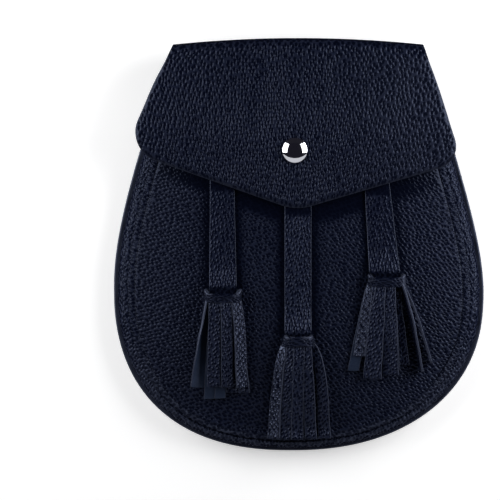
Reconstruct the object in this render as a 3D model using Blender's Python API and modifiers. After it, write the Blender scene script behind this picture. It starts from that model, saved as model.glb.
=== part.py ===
"""Leather sporran pouch: a rounded body, a folded flap with a press stud, and three strip tassels.

It lies on its back. +Z points out of the front, +Y towards the fold and +X to the front's right. The origin
is on the resting surface, under the middle of the outline. Sizes are in millimetres until MM is applied.
"""

import math
from collections import namedtuple

import bmesh
import bpy
from mathutils import Vector

MM = 0.001
GAP = 0.3
LYING_GAP = 0.5
MERGE_DISTANCE = 0.000005
SHARP_ANGLE = math.radians(40)
OBJECT_COLLECTION = "sporran_pouch"
BUILDER_COLLECTION = "builders"

# Body outline: straight sides that round into a superellipse at the bottom.
WIDEST_HALF_WIDTH = 90.8
WIDEST_Y = -22.8
BOTTOM_Y = -101.1
BOTTOM_POWER = 2.3
SIDE_SLOPE = 0.3416
SIDE_ROUND = 39.2
SIDE_LEAN = 0.9
BOTTOM_LEAN = 3.8
BOTTOM_LEAN_Y = -40.0
SIDE_STATIONS = 10
BOTTOM_STATIONS = 16

# Leather thicknesses.
BACK_THICK = 1.6
GUSSET_THICK = 1.4
PANEL_THICK = 1.5
FLAP_THICK = 1.6
STRAP_THICK = 1.3
STRIP_THICK = 1.2

# The back panel is flat below and rises over the hangers.
BACK_TOP_Y = 94.0
RISE = 2.9
RISE_START_Y = 5.0
RISE_END_Y = 58.0

# Gusset and front panel. A section runs inwards from the outline, its heights above the back panel's face.
SectionPoint = namedtuple("SectionPoint", "inset height")
GUSSET_TOP_Y = 88.0
GUSSET_SECTION = (
    SectionPoint(2.0, GAP),
    SectionPoint(1.5, 2.4),
    SectionPoint(1.7, 4.6),
    SectionPoint(2.8, 6.6),
    SectionPoint(4.4, 7.6),
    SectionPoint(5.8, 7.2),
    SectionPoint(6.4, 6.2),
    SectionPoint(6.5, 4.4),
)
MOUTH_Y = 84.0
PANEL_SECTION = (
    SectionPoint(6.8, 4.8),
    SectionPoint(6.9, 7.4),
    SectionPoint(7.6, 8.8),
    SectionPoint(8.8, 9.5),
    SectionPoint(10.5, 9.3),
)
CREASE_INSET = 10.5
CREASE_Z = BACK_THICK + 9.3
DOME_HEIGHT = 7.3
DOME_POWER = 3.0
DOME_RINGS = (0.95, 0.87, 0.76, 0.63, 0.48, 0.33, 0.17, 0.0)
MOUTH_DIP = 0.22
MOUTH_DIP_START_Y = 20.0
SPINE_SHARE = 0.67

# Flap: five corners, of which the lower three are rounded.
Corner = namedtuple("Corner", "x y radius steps")
FOLD_MIDDLE_X = -0.4
FOLD_HALF_WIDTH = 61.2
FOLD_CORNER_Y = 98.0
FOLD_MIDDLE_Y = 101.1
FOLD_DEPTH = 8.0
FLAP_LEFT = Corner(-85.7, 46.4, 15.0, 5)
FLAP_TIP = Corner(-1.4, 16.6, 24.0, 4)
FLAP_RIGHT = Corner(79.9, 40.6, 11.0, 5)
FLAP_EDGE_RUNS = 5
FLAP_TAIL_HALF_WIDTH = 58.0
FLAP_TAIL_ROWS_Y = (70.0, 81.0)
FLAP_MIDDLE_Z = 21.7
FLAP_SIDE_DROP = 4.6
FLAP_SIDE_POWER = 2.2
FLAP_FOLD_DROP = 1.2
FOLD_STEPS = 8
FLAP_FRONT_STEPS = 9

# Press stud.
STUD_X = -2.1
STUD_Y = 46.0
CAP_RADIUS = 6.25
CAP_HEIGHT = 3.0
CAP_EDGE = 0.7
CAP_STEPS = 6
POST_RADIUS = 4.0
ROUND_SIDES = 28

# Hangers on the back: flat metal plates with an eye.
HANGER_X = 42.0
HANGER_Y = 77.0
HANGER_HALF_WIDTH = 10.0
HANGER_HALF_LENGTH = 12.0
HANGER_THICK = 2.4
EYE_HALF_WIDTH = 6.5
EYE_HALF_LENGTH = 4.5
EYE_Y = 5.0
HANGER_ROUND = 2.5

# Tassels: a strap that runs down the front panel, a rolled head and a fringe of strips.
Strap = namedtuple("Strap", "top_y top_x top_width end_x end_width")
Head = namedtuple("Head", "x top_y bottom_y width")
Strip = namedtuple("Strip", "root_x tip_x length root_width tip_width root_lift tip_lift root_turn tip_turn bow")
Tassel = namedtuple("Tassel", "side strap head strips")

STRAP_STEPS = 10
STRAP_RISE_LENGTH = 16.0
HEAD_THICK = 7.4
HEAD_WALL = 1.6
HEAD_RECESS = 2.2
HEAD_SIDES = 20
HEAD_POWER = 2.6
HEAD_SOFT = 0.7
HEAD_SOFT_LENGTH = 1.4
BUNDLE_LENGTH = 6.0
BUNDLE_HEIGHT = 5.4
BUNDLE_TAPER = 1.0
STRIP_STEPS = 6

TASSELS = (
    Tassel(
        "left",
        Strap(56.0, -37.8, 11.2, -37.2, 13.6),
        Head(-37.4, -21.7, -28.2, 18.2),
        (
            Strip(-6.9, -13.0, 40.8, 5.0, 6.8, 3.6, 1.9, 70, -12, -0.4),
            Strip(-3.9, -4.4, 40.6, 5.8, 6.8, 5.0, 3.9, 0, 0, 0.0),
            Strip(1.6, 2.2, 40.8, 5.4, 5.9, 5.3, 4.2, 0, 0, 0.0),
            Strip(6.5, 10.1, 40.9, 5.2, 5.6, 4.4, 3.6, 20, 42, 0.8),
            Strip(-4.2, -6.8, 46.4, 5.4, 5.4, 2.1, 1.3, 0, 0, 0.0),
            Strip(-0.4, -1.5, 46.2, 5.4, 5.4, 2.4, 1.5, 0, 0, 0.0),
            Strip(2.6, 5.0, 43.4, 6.0, 6.8, 2.2, 1.3, 0, 0, 0.0),
            Strip(5.6, 12.0, 43.6, 5.2, 6.4, 2.7, 1.7, 25, 8, 0.4),
        ),
    ),
    Tassel(
        "centre",
        Strap(37.0, -0.5, 13.2, -0.5, 13.2),
        Head(-0.15, -44.3, -49.7, 15.4),
        (
            Strip(-5.6, -12.8, 44.2, 4.6, 5.4, 4.2, 3.2, -24, -20, -1.2),
            Strip(-2.9, -6.8, 44.6, 5.2, 6.0, 5.1, 3.9, 0, 0, 0.0),
            Strip(0.3, -0.8, 44.7, 5.2, 6.0, 5.4, 4.3, 0, 0, 0.0),
            Strip(3.0, 6.0, 44.3, 5.2, 6.0, 5.1, 3.9, 0, 0, 0.4),
            Strip(5.6, 12.4, 44.1, 4.6, 5.6, 4.2, 3.2, 24, 16, 1.6),
            Strip(-3.0, -9.0, 42.0, 5.2, 6.2, 2.2, 1.3, 0, 0, 0.0),
            Strip(0.0, 0.8, 43.0, 5.2, 6.2, 2.4, 1.6, 0, 0, 0.0),
            Strip(3.2, 9.4, 42.2, 5.2, 6.2, 2.2, 1.3, 0, 0, 0.6),
        ),
    ),
    Tassel(
        "right",
        Strap(56.0, 35.9, 10.6, 42.2, 15.4),
        Head(42.75, -14.3, -20.8, 18.3),
        (
            Strip(-6.6, -16.0, 40.2, 5.0, 5.6, 2.9, 1.6, -10, 0, -0.6),
            Strip(-3.9, -6.9, 44.1, 6.6, 9.0, 5.0, 3.9, 0, 0, 0.0),
            Strip(1.4, 2.1, 42.2, 5.0, 8.4, 5.3, 4.2, 0, 0, 0.0),
            Strip(3.8, 8.8, 37.4, 5.0, 5.4, 2.9, 1.8, 0, 0, 0.0),
            Strip(6.4, 17.4, 40.8, 5.0, 6.2, 4.6, 4.1, 72, 80, 1.6),
            Strip(6.9, 22.4, 36.4, 5.0, 6.2, 3.9, 4.4, 62, 72, 2.2),
            Strip(-2.6, -4.6, 41.0, 5.4, 6.4, 2.2, 1.3, 0, 0, 0.0),
            Strip(1.6, 3.6, 40.0, 5.4, 6.4, 2.4, 1.5, 0, 0, 0.0),
        ),
    ),
)

LEATHER = ("leather", (0.012, 0.015, 0.026), 0.45, 0.0)
CUT_LEATHER = ("strip_leather", (0.016, 0.020, 0.034), 0.5, 0.0)
METAL = ("polished_metal", (0.75, 0.75, 0.77), 0.12, 1.0)
PLAIN_METAL = ("plain_metal", (0.5, 0.5, 0.52), 0.35, 1.0)


def smoothstep(value):
    """0 below 0, 1 above 1, and a smooth step between them."""
    t = min(1.0, max(0.0, value))
    return t * t * (3 - 2 * t)


def between(start, end, share):
    """The value at a share of the way from start to end."""
    return start + (end - start) * share


def rise(y):
    """How far the back panel, and all that lies on it, is raised at y."""
    return RISE * smoothstep((y - RISE_START_Y) / (RISE_END_Y - RISE_START_Y))


def half_width(y, inset=0.0):
    """Half the body's width at y, or of the shape that lies the inset within it."""
    widest = WIDEST_HALF_WIDTH - inset
    if y >= WIDEST_Y:
        return widest - SIDE_SLOPE * (math.hypot(y - WIDEST_Y, SIDE_ROUND) - SIDE_ROUND)
    drop = min(1.0, (WIDEST_Y - y) / (WIDEST_Y - BOTTOM_Y - inset))
    return widest * (1 - drop**BOTTOM_POWER) ** (1 / BOTTOM_POWER)


def midline(y):
    """The x of the body's middle at y, since the pouch isn't quite even."""
    if y > WIDEST_Y:
        return -SIDE_LEAN * math.sin(math.pi * (y - WIDEST_Y) / (FOLD_MIDDLE_Y - WIDEST_Y))
    below = max(0.0, BOTTOM_LEAN_Y - y) / (BOTTOM_LEAN_Y - BOTTOM_Y)
    return -BOTTOM_LEAN * below**2


def half_stations(top_y):
    """(half width, y) down the right half of the outline, from top_y to the lowest point."""
    stations = []
    for i in range(SIDE_STATIONS):
        y = between(top_y, WIDEST_Y, i / SIDE_STATIONS)
        stations.append((half_width(y), y))
    for i in range(BOTTOM_STATIONS + 1):
        angle = i / BOTTOM_STATIONS * math.pi / 2
        across = max(0.0, math.cos(angle)) ** (2 / BOTTOM_POWER)
        down = math.sin(angle) ** (2 / BOTTOM_POWER)
        stations.append((WIDEST_HALF_WIDTH * across, WIDEST_Y - (WIDEST_Y - BOTTOM_Y) * down))
    return stations


def outline(top_y):
    """Points and inward normals round the body, from the left top corner down and up to the right one."""
    right = half_stations(top_y)
    left = [(-half, y) for half, y in right]
    points = [Vector((midline(y) + x, y)) for x, y in left + right[-2::-1]]
    last = len(points) - 1
    normals = []
    for i in range(last + 1):
        along = points[min(i + 1, last)] - points[max(i - 1, 0)]
        normals.append(Vector((-along.y, along.x)).normalized())
    return points, normals


def dome(x, y):
    """The height of the front panel's outer face at x, y, and of its crease beyond it."""
    side = abs(x - midline(y))
    if y >= WIDEST_Y:
        share = side / half_width(y, CREASE_INSET)
    else:
        across = side / (WIDEST_HALF_WIDTH - CREASE_INSET)
        down = (WIDEST_Y - y) / (WIDEST_Y - BOTTOM_Y - CREASE_INSET)
        share = (across**BOTTOM_POWER + down**BOTTOM_POWER) ** (1 / BOTTOM_POWER)
    dip = MOUTH_DIP * smoothstep((y - MOUTH_DIP_START_Y) / (MOUTH_Y - MOUTH_DIP_START_Y))
    swell = DOME_HEIGHT * (1 - dip) * (1 - min(1.0, share) ** DOME_POWER)
    return CREASE_Z + swell + rise(y)


def flap_height(x, y):
    """The height of the flap's outer face at x, y."""
    side = FLAP_SIDE_DROP * (abs(x) / abs(FLAP_LEFT.x)) ** FLAP_SIDE_POWER
    fold = FLAP_FOLD_DROP * smoothstep((y - STUD_Y) / (FOLD_CORNER_Y - STUD_Y))
    return FLAP_MIDDLE_Z - side - fold + rise(y)


def collection_of(name):
    """The scene's collection of this name, made on first use."""
    if name not in bpy.data.collections:
        made = bpy.data.collections.new(name)
        bpy.context.scene.collection.children.link(made)
    return bpy.data.collections[name]


def material_of(look):
    """The material of a (name, colour, roughness, metallic) look."""
    name, colour, roughness, metallic = look
    if name not in bpy.data.materials:
        material = bpy.data.materials.new(name)
        material.use_nodes = True
        shader = material.node_tree.nodes["Principled BSDF"]
        shader.inputs["Base Color"].default_value = (*colour, 1)
        shader.inputs["Roughness"].default_value = roughness
        shader.inputs["Metallic"].default_value = metallic
        material.diffuse_color = (*colour, 1)
    return bpy.data.materials[name]


def add_object(name, data, look, collection=OBJECT_COLLECTION):
    """An object of this data in a collection, with its material."""
    made = bpy.data.objects.new(name, data)
    data.materials.append(material_of(look))
    collection_of(collection).objects.link(made)
    return made


def mesh_from(shape, name):
    """A mesh of this name from a bmesh, which is freed."""
    data = bpy.data.meshes.new(name)
    shape.to_mesh(data)
    shape.free()
    return data


def sheet_mesh(name, rows, flip=False, merge=False):
    """A mesh of quads through rows of points in millimetres, each row of the same length."""
    shape = bmesh.new()
    grid = [[shape.verts.new(Vector(point) * MM) for point in row] for row in rows]
    for upper, lower in zip(grid, grid[1:]):
        for i in range(len(upper) - 1):
            corners = [upper[i], lower[i], lower[i + 1], upper[i + 1]]
            shape.faces.new(corners[::-1] if flip else corners)
    if merge:
        bmesh.ops.remove_doubles(shape, verts=shape.verts, dist=MERGE_DISTANCE)
    data = mesh_from(shape, name)
    data.shade_smooth()
    data.set_sharp_from_angle(angle=SHARP_ANGLE)
    return data


def closed_loft(name, rings):
    """A closed mesh through rings of points in millimetres, each of the same length, with flat ends."""
    shape = bmesh.new()
    loops = [[shape.verts.new(point * MM) for point in ring] for ring in rings]
    count = len(rings[0])
    for upper, lower in zip(loops, loops[1:]):
        for i in range(count):
            j = (i + 1) % count
            shape.faces.new((upper[i], upper[j], lower[j], lower[i]))
    shape.faces.new(loops[0][::-1])
    shape.faces.new(loops[-1])
    bmesh.ops.recalc_face_normals(shape, faces=shape.faces)
    return mesh_from(shape, name)


def leather_sheet(name, rows, thickness, flip=False, merge=False):
    """A leather wall whose outer face runs through the rows; its thickness lies behind that face."""
    made = add_object(name, sheet_mesh(name, rows, flip, merge), LEATHER)
    wall = made.modifiers.new("leather", "SOLIDIFY")
    wall.thickness = thickness * MM
    wall.offset = -1
    wall.use_even_offset = True
    return made


def spine_of(point, top_y):
    """The point on the body's middle that an outline point's row runs in to."""
    y = between(top_y, point.y, SPINE_SHARE)
    return Vector((midline(y), y))


def back_panel():
    """The flat sheet that everything is sewn to, with the whole outline of the body."""
    points, _ = outline(BACK_TOP_Y)
    rows = []
    for point in points:
        inner = spine_of(point, BACK_TOP_Y)
        places = [point.lerp(inner, share) for share in (0.0, 0.5, 1.0)]
        rows.append([(p.x, p.y, rise(p.y) + BACK_THICK) for p in places])
    return leather_sheet("back_panel", rows, BACK_THICK, merge=True)


def gusset():
    """The strip round the sides and bottom, which bulges out and rolls in to the front panel."""
    rows = []
    for point, normal in zip(*outline(GUSSET_TOP_Y)):
        places = [(point + normal * part.inset, part.height) for part in GUSSET_SECTION]
        rows.append([(p.x, p.y, rise(p.y) + BACK_THICK + height) for p, height in places])
    return leather_sheet("gusset", rows, GUSSET_THICK)


def front_panel():
    """The domed front: a turned-down edge, a margin, a crease, then the dome; its top edge is the mouth."""
    rows = []
    for point, normal in zip(*outline(MOUTH_Y)):
        row = []
        for part in PANEL_SECTION:
            p = point + normal * part.inset
            row.append((p.x, p.y, rise(p.y) + BACK_THICK + part.height))
        edge = point + normal * CREASE_INSET
        inner = spine_of(point, MOUTH_Y)
        for share in DOME_RINGS:
            p = inner.lerp(edge, share)
            row.append((p.x, p.y, dome(p.x, p.y)))
        rows.append(row)
    return leather_sheet("front_panel", rows, PANEL_THICK, merge=True)


def rounded_corner(before, corner, after):
    """Points along a corner's arc, between the directions to the corners before and after it."""
    here = Vector((corner.x, corner.y))
    back = (Vector(before) - here).normalized()
    on = (Vector(after) - here).normalized()
    half_turn = back.angle(on) / 2
    centre = here + (back + on).normalized() * corner.radius / math.sin(half_turn)
    first = here + back * corner.radius / math.tan(half_turn) - centre
    sweep = math.copysign(math.pi - 2 * half_turn, back.cross(on))
    start = math.atan2(first.y, first.x)
    points = []
    for i in range(corner.steps + 1):
        angle = start - sweep * i / corner.steps
        points.append(centre + corner.radius * Vector((math.cos(angle), math.sin(angle))))
    return points


def flap_lower_edge():
    """Points along the flap's free edge, from the end of its left side to the end of its right side."""
    corners = (FLAP_LEFT, FLAP_TIP, FLAP_RIGHT)
    places = [(FOLD_MIDDLE_X - FOLD_HALF_WIDTH, FOLD_CORNER_Y)]
    places += [(corner.x, corner.y) for corner in corners]
    places += [(FOLD_MIDDLE_X + FOLD_HALF_WIDTH, FOLD_CORNER_Y)]
    points = []
    for before, corner, after in zip(places, corners, places[2:]):
        arc = rounded_corner(before, corner, after)
        if points:
            start = points[-1]
            runs = range(1, FLAP_EDGE_RUNS)
            points += [start.lerp(arc[0], i / FLAP_EDGE_RUNS) for i in runs]
        points += arc
    return points


def flap_column(edge, share):
    """The outer face down one line of the flap, at a share from -1 to 1 across it: tail, fold and front."""
    top_x = FOLD_MIDDLE_X + FOLD_HALF_WIDTH * share
    tail_x = FLAP_TAIL_HALF_WIDTH * share
    crest_y = between(FOLD_MIDDLE_Y, FOLD_CORNER_Y, share**2)
    fold_y = crest_y - FOLD_DEPTH
    front_x = between(top_x, edge.x, FOLD_DEPTH / (crest_y - edge.y))
    tail_z = rise(fold_y) + BACK_THICK + GAP
    front_z = flap_height(front_x, fold_y)
    column = [(tail_x, y, rise(y) + BACK_THICK + GAP) for y in FLAP_TAIL_ROWS_Y]
    for i in range(FOLD_STEPS + 1):
        angle = math.pi * i / FOLD_STEPS
        y = fold_y + FOLD_DEPTH * math.sin(angle)
        z = between(tail_z, front_z, (1 - math.cos(angle)) / 2)
        if 2 * i < FOLD_STEPS:
            x = between(tail_x, top_x, 2 * i / FOLD_STEPS)
        else:
            x = between(top_x, front_x, 1 - math.sin(angle))
        column.append((x, y, z))
    for i in range(1, FLAP_FRONT_STEPS + 1):
        x = between(front_x, edge.x, i / FLAP_FRONT_STEPS)
        y = between(fold_y, edge.y, i / FLAP_FRONT_STEPS)
        column.append((x, y, flap_height(x, y)))
    return column


def flap():
    """One sheet: a tail inside against the back panel, the fold over the top, and the pointed front."""
    edge = flap_lower_edge()
    run = [0.0]
    for before, point in zip(edge, edge[1:]):
        run.append(run[-1] + (point - before).length)
    columns = [flap_column(point, between(-1, 1, length / run[-1])) for point, length in zip(edge, run)]
    return leather_sheet("flap", columns, FLAP_THICK, flip=True)


def turned(name, profile, look, x, y):
    """A solid turned about a vertical line, from (radius, z) points that run down its outer side."""
    shape = bmesh.new()
    verts = [shape.verts.new((radius * MM, 0, z * MM)) for radius, z in profile]
    for upper, lower in zip(verts, verts[1:]):
        shape.edges.new((upper, lower))
    made = add_object(name, mesh_from(shape, name), look)
    made.location = (x * MM, y * MM, 0)
    screw = made.modifiers.new("turn", "SCREW")
    screw.steps = screw.render_steps = ROUND_SIDES
    screw.use_merge_vertices = True
    screw.merge_threshold = MERGE_DISTANCE
    return made


def snap_cap():
    """The press stud's domed cap, on the flap."""
    base = flap_height(STUD_X, STUD_Y) + GAP
    profile = []
    for i in range(CAP_STEPS + 1):
        angle = math.pi / 2 * i / CAP_STEPS
        height = CAP_EDGE + (CAP_HEIGHT - CAP_EDGE) * math.cos(angle)
        profile.append((CAP_RADIUS * math.sin(angle), base + height))
    profile += [(CAP_RADIUS, base), (0, base)]
    return turned("snap_cap", profile, METAL, STUD_X, STUD_Y)


def snap_post():
    """The stud's plain post, between the flap and the front panel."""
    top = flap_height(STUD_X, STUD_Y) - FLAP_THICK - GAP
    base = dome(STUD_X, STUD_Y) + GAP
    profile = [(0, top), (POST_RADIUS, top), (POST_RADIUS, base), (0, base)]
    return turned("snap_post", profile, PLAIN_METAL, STUD_X, STUD_Y)


def rounded_box(half_x, half_y, radius, steps=4):
    """Points round a rectangle with rounded corners, centred on the origin."""
    points = []
    for quarter in range(4):
        turn = math.pi / 2 * quarter
        sign_x = 1 if quarter in (0, 3) else -1
        sign_y = 1 if quarter in (0, 1) else -1
        for i in range(steps + 1):
            angle = turn + math.pi / 2 * i / steps
            x = sign_x * (half_x - radius) + radius * math.cos(angle)
            y = sign_y * (half_y - radius) + radius * math.sin(angle)
            points.append((x, y))
    return points


def hanger(side, name):
    """A flat metal plate on the back, with the eye that a strap's or chain's hook goes into."""
    curve = bpy.data.curves.new(name, "CURVE")
    curve.dimensions = "2D"
    curve.fill_mode = "BOTH"
    curve.extrude = HANGER_THICK / 2 * MM
    plate = rounded_box(HANGER_HALF_WIDTH, HANGER_HALF_LENGTH, HANGER_ROUND)
    eye = [(x, y + EYE_Y) for x, y in rounded_box(EYE_HALF_WIDTH, EYE_HALF_LENGTH, HANGER_ROUND)]
    for ring in (plate, eye):
        spline = curve.splines.new("POLY")
        spline.points.add(len(ring) - 1)
        spline.use_cyclic_u = True
        for point, (x, y) in zip(spline.points, ring):
            point.co = (x * MM, y * MM, 0, 1)
    made = add_object(name, curve, PLAIN_METAL)
    made.location = (side * HANGER_X * MM, HANGER_Y * MM, HANGER_THICK / 2 * MM)
    return made


def tassel_strap(tassel):
    """The strap down the front panel, whose narrower tongue lifts into the head's recess."""
    strap, head = tassel.strap, tassel.head
    shoulder_y = head.top_y + 3 * GAP
    end_y = head.top_y - HEAD_RECESS + 2 * GAP
    tongue_half = head.width / 2 - HEAD_WALL - 3 * GAP
    places = [(between(strap.top_y, shoulder_y, i / STRAP_STEPS), None) for i in range(STRAP_STEPS + 1)]
    places += [(shoulder_y - GAP, tongue_half), (end_y, tongue_half)]
    rows = []
    for y, narrowed in places:
        share = (strap.top_y - y) / (strap.top_y - end_y)
        x = head.x if narrowed else between(strap.top_x, strap.end_x, share)
        half = between(strap.top_width, strap.end_width, share) / 2
        half = min(half, narrowed) if narrowed else half
        lift = (HEAD_THICK - STRAP_THICK) / 2 * smoothstep(1 - (y - end_y) / STRAP_RISE_LENGTH)
        z = dome(x, y) + LYING_GAP + STRAP_THICK + lift
        rows.append([(x + side * half, y, z) for side in (1, 0, -1)])
    return leather_sheet("tassel_strap_" + tassel.side, rows, STRAP_THICK, flip=True)


def head_ring(head, y, shrink):
    """Points round the head at y, drawn in by shrink."""
    base = dome(head.x, (head.top_y + head.bottom_y) / 2) + LYING_GAP
    half_x, half_z = head.width / 2 - shrink, HEAD_THICK / 2 - shrink
    points = []
    for i in range(HEAD_SIDES):
        angle = 2 * math.pi * i / HEAD_SIDES
        c, s = math.cos(angle), math.sin(angle)
        x = head.x + half_x * math.copysign(abs(c) ** (2 / HEAD_POWER), c)
        z = base + HEAD_THICK / 2 + half_z * math.copysign(abs(s) ** (2 / HEAD_POWER), s)
        points.append(Vector((x, y, z)))
    return points


def tassel_head(tassel):
    """The rolled leather head: a flattened roll with a recess in its top that the strap goes into."""
    head = tassel.head
    rings = (
        (head.bottom_y, HEAD_SOFT),
        (head.bottom_y + HEAD_SOFT_LENGTH, 0.0),
        (head.top_y - HEAD_SOFT_LENGTH, 0.0),
        (head.top_y, HEAD_SOFT),
        (head.top_y, HEAD_WALL),
        (head.top_y - HEAD_RECESS, HEAD_WALL),
    )
    name = "tassel_head_" + tassel.side
    data = closed_loft(name, [head_ring(head, y, shrink) for y, shrink in rings])
    return add_object(name, data, LEATHER)


def strip_rings(head, strip):
    """Four corners at each step down a strip, which fans out, turns over and settles on the front panel."""
    rings = []
    for i in range(STRIP_STEPS + 1):
        share = i / STRIP_STEPS
        y = head.bottom_y - 2 * GAP - strip.length * share
        x = head.x + between(strip.root_x, strip.tip_x, share) + strip.bow * math.sin(math.pi * share)
        half = between(strip.root_width, strip.tip_width, share) / 2
        turn = math.radians(between(strip.root_turn, strip.tip_turn, share))
        needed = half * abs(math.sin(turn)) + STRIP_THICK / 2 * math.cos(turn) + LYING_GAP
        lift = max(between(strip.root_lift, strip.tip_lift, smoothstep(share)), needed)
        centre = Vector((x, y, dome(x, y) + lift))
        across = Vector((math.cos(turn), 0, math.sin(turn))) * half
        through = Vector((-math.sin(turn), 0, math.cos(turn))) * STRIP_THICK / 2
        low, high = centre - through, centre + through
        rings.append([low - across, low + across, high + across, high - across])
    return rings


def box_loft(name, rings, collection):
    """A solid of cut leather through rings of four corners."""
    return add_object(name, closed_loft(name, rings), CUT_LEATHER, collection)


def tassel_fringe(tassel):
    """The strips of one tassel, fused at the top to the bundle that comes out of the head."""
    head = tassel.head
    half = head.width / 2 - HEAD_WALL
    bundle = []
    for share in (0.0, 1.0):
        y = head.bottom_y - GAP - BUNDLE_LENGTH * share
        side = half - BUNDLE_TAPER * share
        low = dome(head.x, y) + LYING_GAP + GAP
        high = low + BUNDLE_HEIGHT - BUNDLE_TAPER * share
        corners = ((-side, low), (side, low), (side, high), (-side, high))
        bundle.append([Vector((head.x + x, y, z)) for x, z in corners])
    name = "tassel_fringe_" + tassel.side
    made = box_loft(name, bundle, OBJECT_COLLECTION)
    for i, strip in enumerate(tassel.strips):
        piece = box_loft(f"{name}_strip_{i}", strip_rings(head, strip), BUILDER_COLLECTION)
        piece.hide_render = True
        piece.display_type = "WIRE"
        fuse = made.modifiers.new(f"strip_{i}", "BOOLEAN")
        fuse.operation = "UNION"
        fuse.object = piece
    return made


def main():
    """Clears the scene and builds every piece."""
    for old in list(bpy.data.objects):
        bpy.data.objects.remove(old, do_unlink=True)
    back_panel()
    gusset()
    front_panel()
    flap()
    snap_cap()
    snap_post()
    hanger(-1, "hanger_left")
    hanger(1, "hanger_right")
    for tassel in TASSELS:
        tassel_strap(tassel)
        tassel_head(tassel)
        tassel_fringe(tassel)


main()
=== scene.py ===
"""The looks of a black pebbled-leather sporran pouch: its hides, cut edges, press stud and studio.

It lies on its back. +Z points out of the front, +Y towards the fold and +X to the front's right. Sizes are in
millimetres until MM is applied.
"""

import math
from collections import namedtuple

import bmesh
import bpy
from mathutils import Euler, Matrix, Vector, noise


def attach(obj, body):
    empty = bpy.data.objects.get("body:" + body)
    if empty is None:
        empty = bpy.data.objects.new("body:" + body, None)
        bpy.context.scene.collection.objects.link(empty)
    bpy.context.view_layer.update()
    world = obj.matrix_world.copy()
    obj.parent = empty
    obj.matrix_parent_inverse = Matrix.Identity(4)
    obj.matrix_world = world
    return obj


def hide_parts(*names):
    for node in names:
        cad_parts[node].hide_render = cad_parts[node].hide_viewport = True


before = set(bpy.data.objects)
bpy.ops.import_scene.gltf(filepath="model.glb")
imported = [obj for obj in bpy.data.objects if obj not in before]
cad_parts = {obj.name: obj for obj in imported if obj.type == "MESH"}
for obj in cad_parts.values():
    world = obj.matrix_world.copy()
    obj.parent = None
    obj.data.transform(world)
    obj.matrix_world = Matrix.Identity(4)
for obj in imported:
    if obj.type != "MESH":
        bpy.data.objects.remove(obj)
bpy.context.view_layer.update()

MM = 0.001
GAP = 0.3
LYING_GAP = 0.5
MERGE_DISTANCE = 0.000005
HIDE_MAP = "hide"
# Vertex layers: the first flattens and darkens the grain, for real pressing and for painted shadow; the
# second mixes in the pale edge colour, for real pale edges and for painted highlights and painted light.
PRESSED_AND_SHADE = "pressed"
PALE_EDGE_AND_LIGHT = "edged"

# Soft random waves: up to height high, about length long.
Wave = namedtuple("Wave", "height length seed")

# Body outline: straight sides that round into a superellipse at the bottom.
WIDEST_HALF_WIDTH = 90.8
WIDEST_Y = -22.8
BOTTOM_Y = -101.1
BOTTOM_POWER = 2.3
SIDE_SLOPE = 0.3416
SIDE_ROUND = 39.2
SIDE_LEAN = 0.9
BOTTOM_LEAN = 3.8
BOTTOM_LEAN_Y = -40.0
SIDE_STATIONS = 52
BOTTOM_STATIONS = 80

# Leather thicknesses.
BACK_THICK = 1.6
GUSSET_THICK = 1.4
PANEL_THICK = 1.5
FLAP_THICK = 1.6
STRAP_THICK = 1.3
STRIP_THICK = 1.2

# The back panel is flat below and rises over the hangers.
BACK_TOP_Y = 94.0
BACK_SHARES = (0.0, 0.018, 0.04, 0.08, 0.15, 0.3, 0.5, 0.75, 1.0)
BACK_RIM = 0.72
BACK_MARGIN = 0.05
BACK_PALE = 0.62
BACK_PALE_WAVE = Wave(0.4, 6.0, 15.0)
# Painted shade: the pale margin is drawn darker towards the right.
BACK_RIGHT_SHADE = 0.2
BACK_RIGHT_SHADE_X = 80.0
RISE = 2.9
RISE_START_Y = 5.0
RISE_END_Y = 58.0

# Gusset and front panel. A section runs inwards from the outline, its heights above the back panel's face.
GUSSET_TOP_Y = 88.0
GUSSET_INSETS = (2.6, 2.1, 2.05, 2.5, 3.4, 4.7, 5.9, 6.76)
GUSSET_HEIGHTS = (GAP, 2.2, 4.2, 6.0, 7.2, 7.95, 8.3, 8.42)
GUSSET_STEPS = 5
PUCKER = Wave(0.38, 3.4, 0.0)
BORDER_TIGHT = 0.3
BORDER_TIGHT_Y = -58.0
SEAM_INSET = 6.8
SEAM_WIDTH = 1.0
SEAM_DEPTH = 0.8
SEAM_EDGE = 0.2
# Painted highlights on the border: bright beads along two ridges and pleat strokes, and a band drawn lighter
# towards the bottom.
BEAD = Wave(1.0, 2.3, 21.0)
BEAD_MORE = 0.1
BEAD_AT_SIDES = 0.12
BEAD_HIGHLIGHT = 1.7
BOTTOM_LIGHT = 0.36
BEAD_YS = (-42.0, -70.0)
BEAD_INSETS = (4.6, 8.9)
BEAD_WIDTH = 1.5
PLEAT_HIGHLIGHT = Wave(0.8, 1.7, 5.0)
PLEAT_HIGHLIGHT_INSETS = (6.0, 4.0)
PAINTED_LIGHT_MOST = 0.8
MOUTH_Y = 84.0
PANEL_INSETS = (6.84, 7.3, 8.0, 8.8, 9.7)
PANEL_HEIGHTS = (8.46, 8.66, 8.98, 9.22, 9.3)
PANEL_STEPS = 5
CREASE_INSET = 10.5
CREASE_Z = BACK_THICK + 9.3
CREASE_DEPTH = 0.24
# A painted highlight along the crease.
CREASE_HIGHLIGHT = 0.2
CREASE_WIDTH = 0.42
CREASE_PUCKER = Wave(0.7, 2.6, 12.0)
CREASE_PRESSED = 0.3
CREASE_INSETS = (10.05, 10.25, 10.4, 10.5, 10.6, 10.75, 10.95, 11.3, 11.8, 12.6)
DOME_HEIGHT = 7.3
DOME_POWER = 3.0
DOME_STEPS = 42
MOUTH_DIP = 0.22
MOUTH_DIP_START_Y = 20.0
SPINE_SHARE = 0.67
PANEL_SWELL = Wave(0.3, 34.0, 3.0)
PANEL_SWELL_FADE = 20.0
MARGIN_RAISED = 0.1

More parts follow.
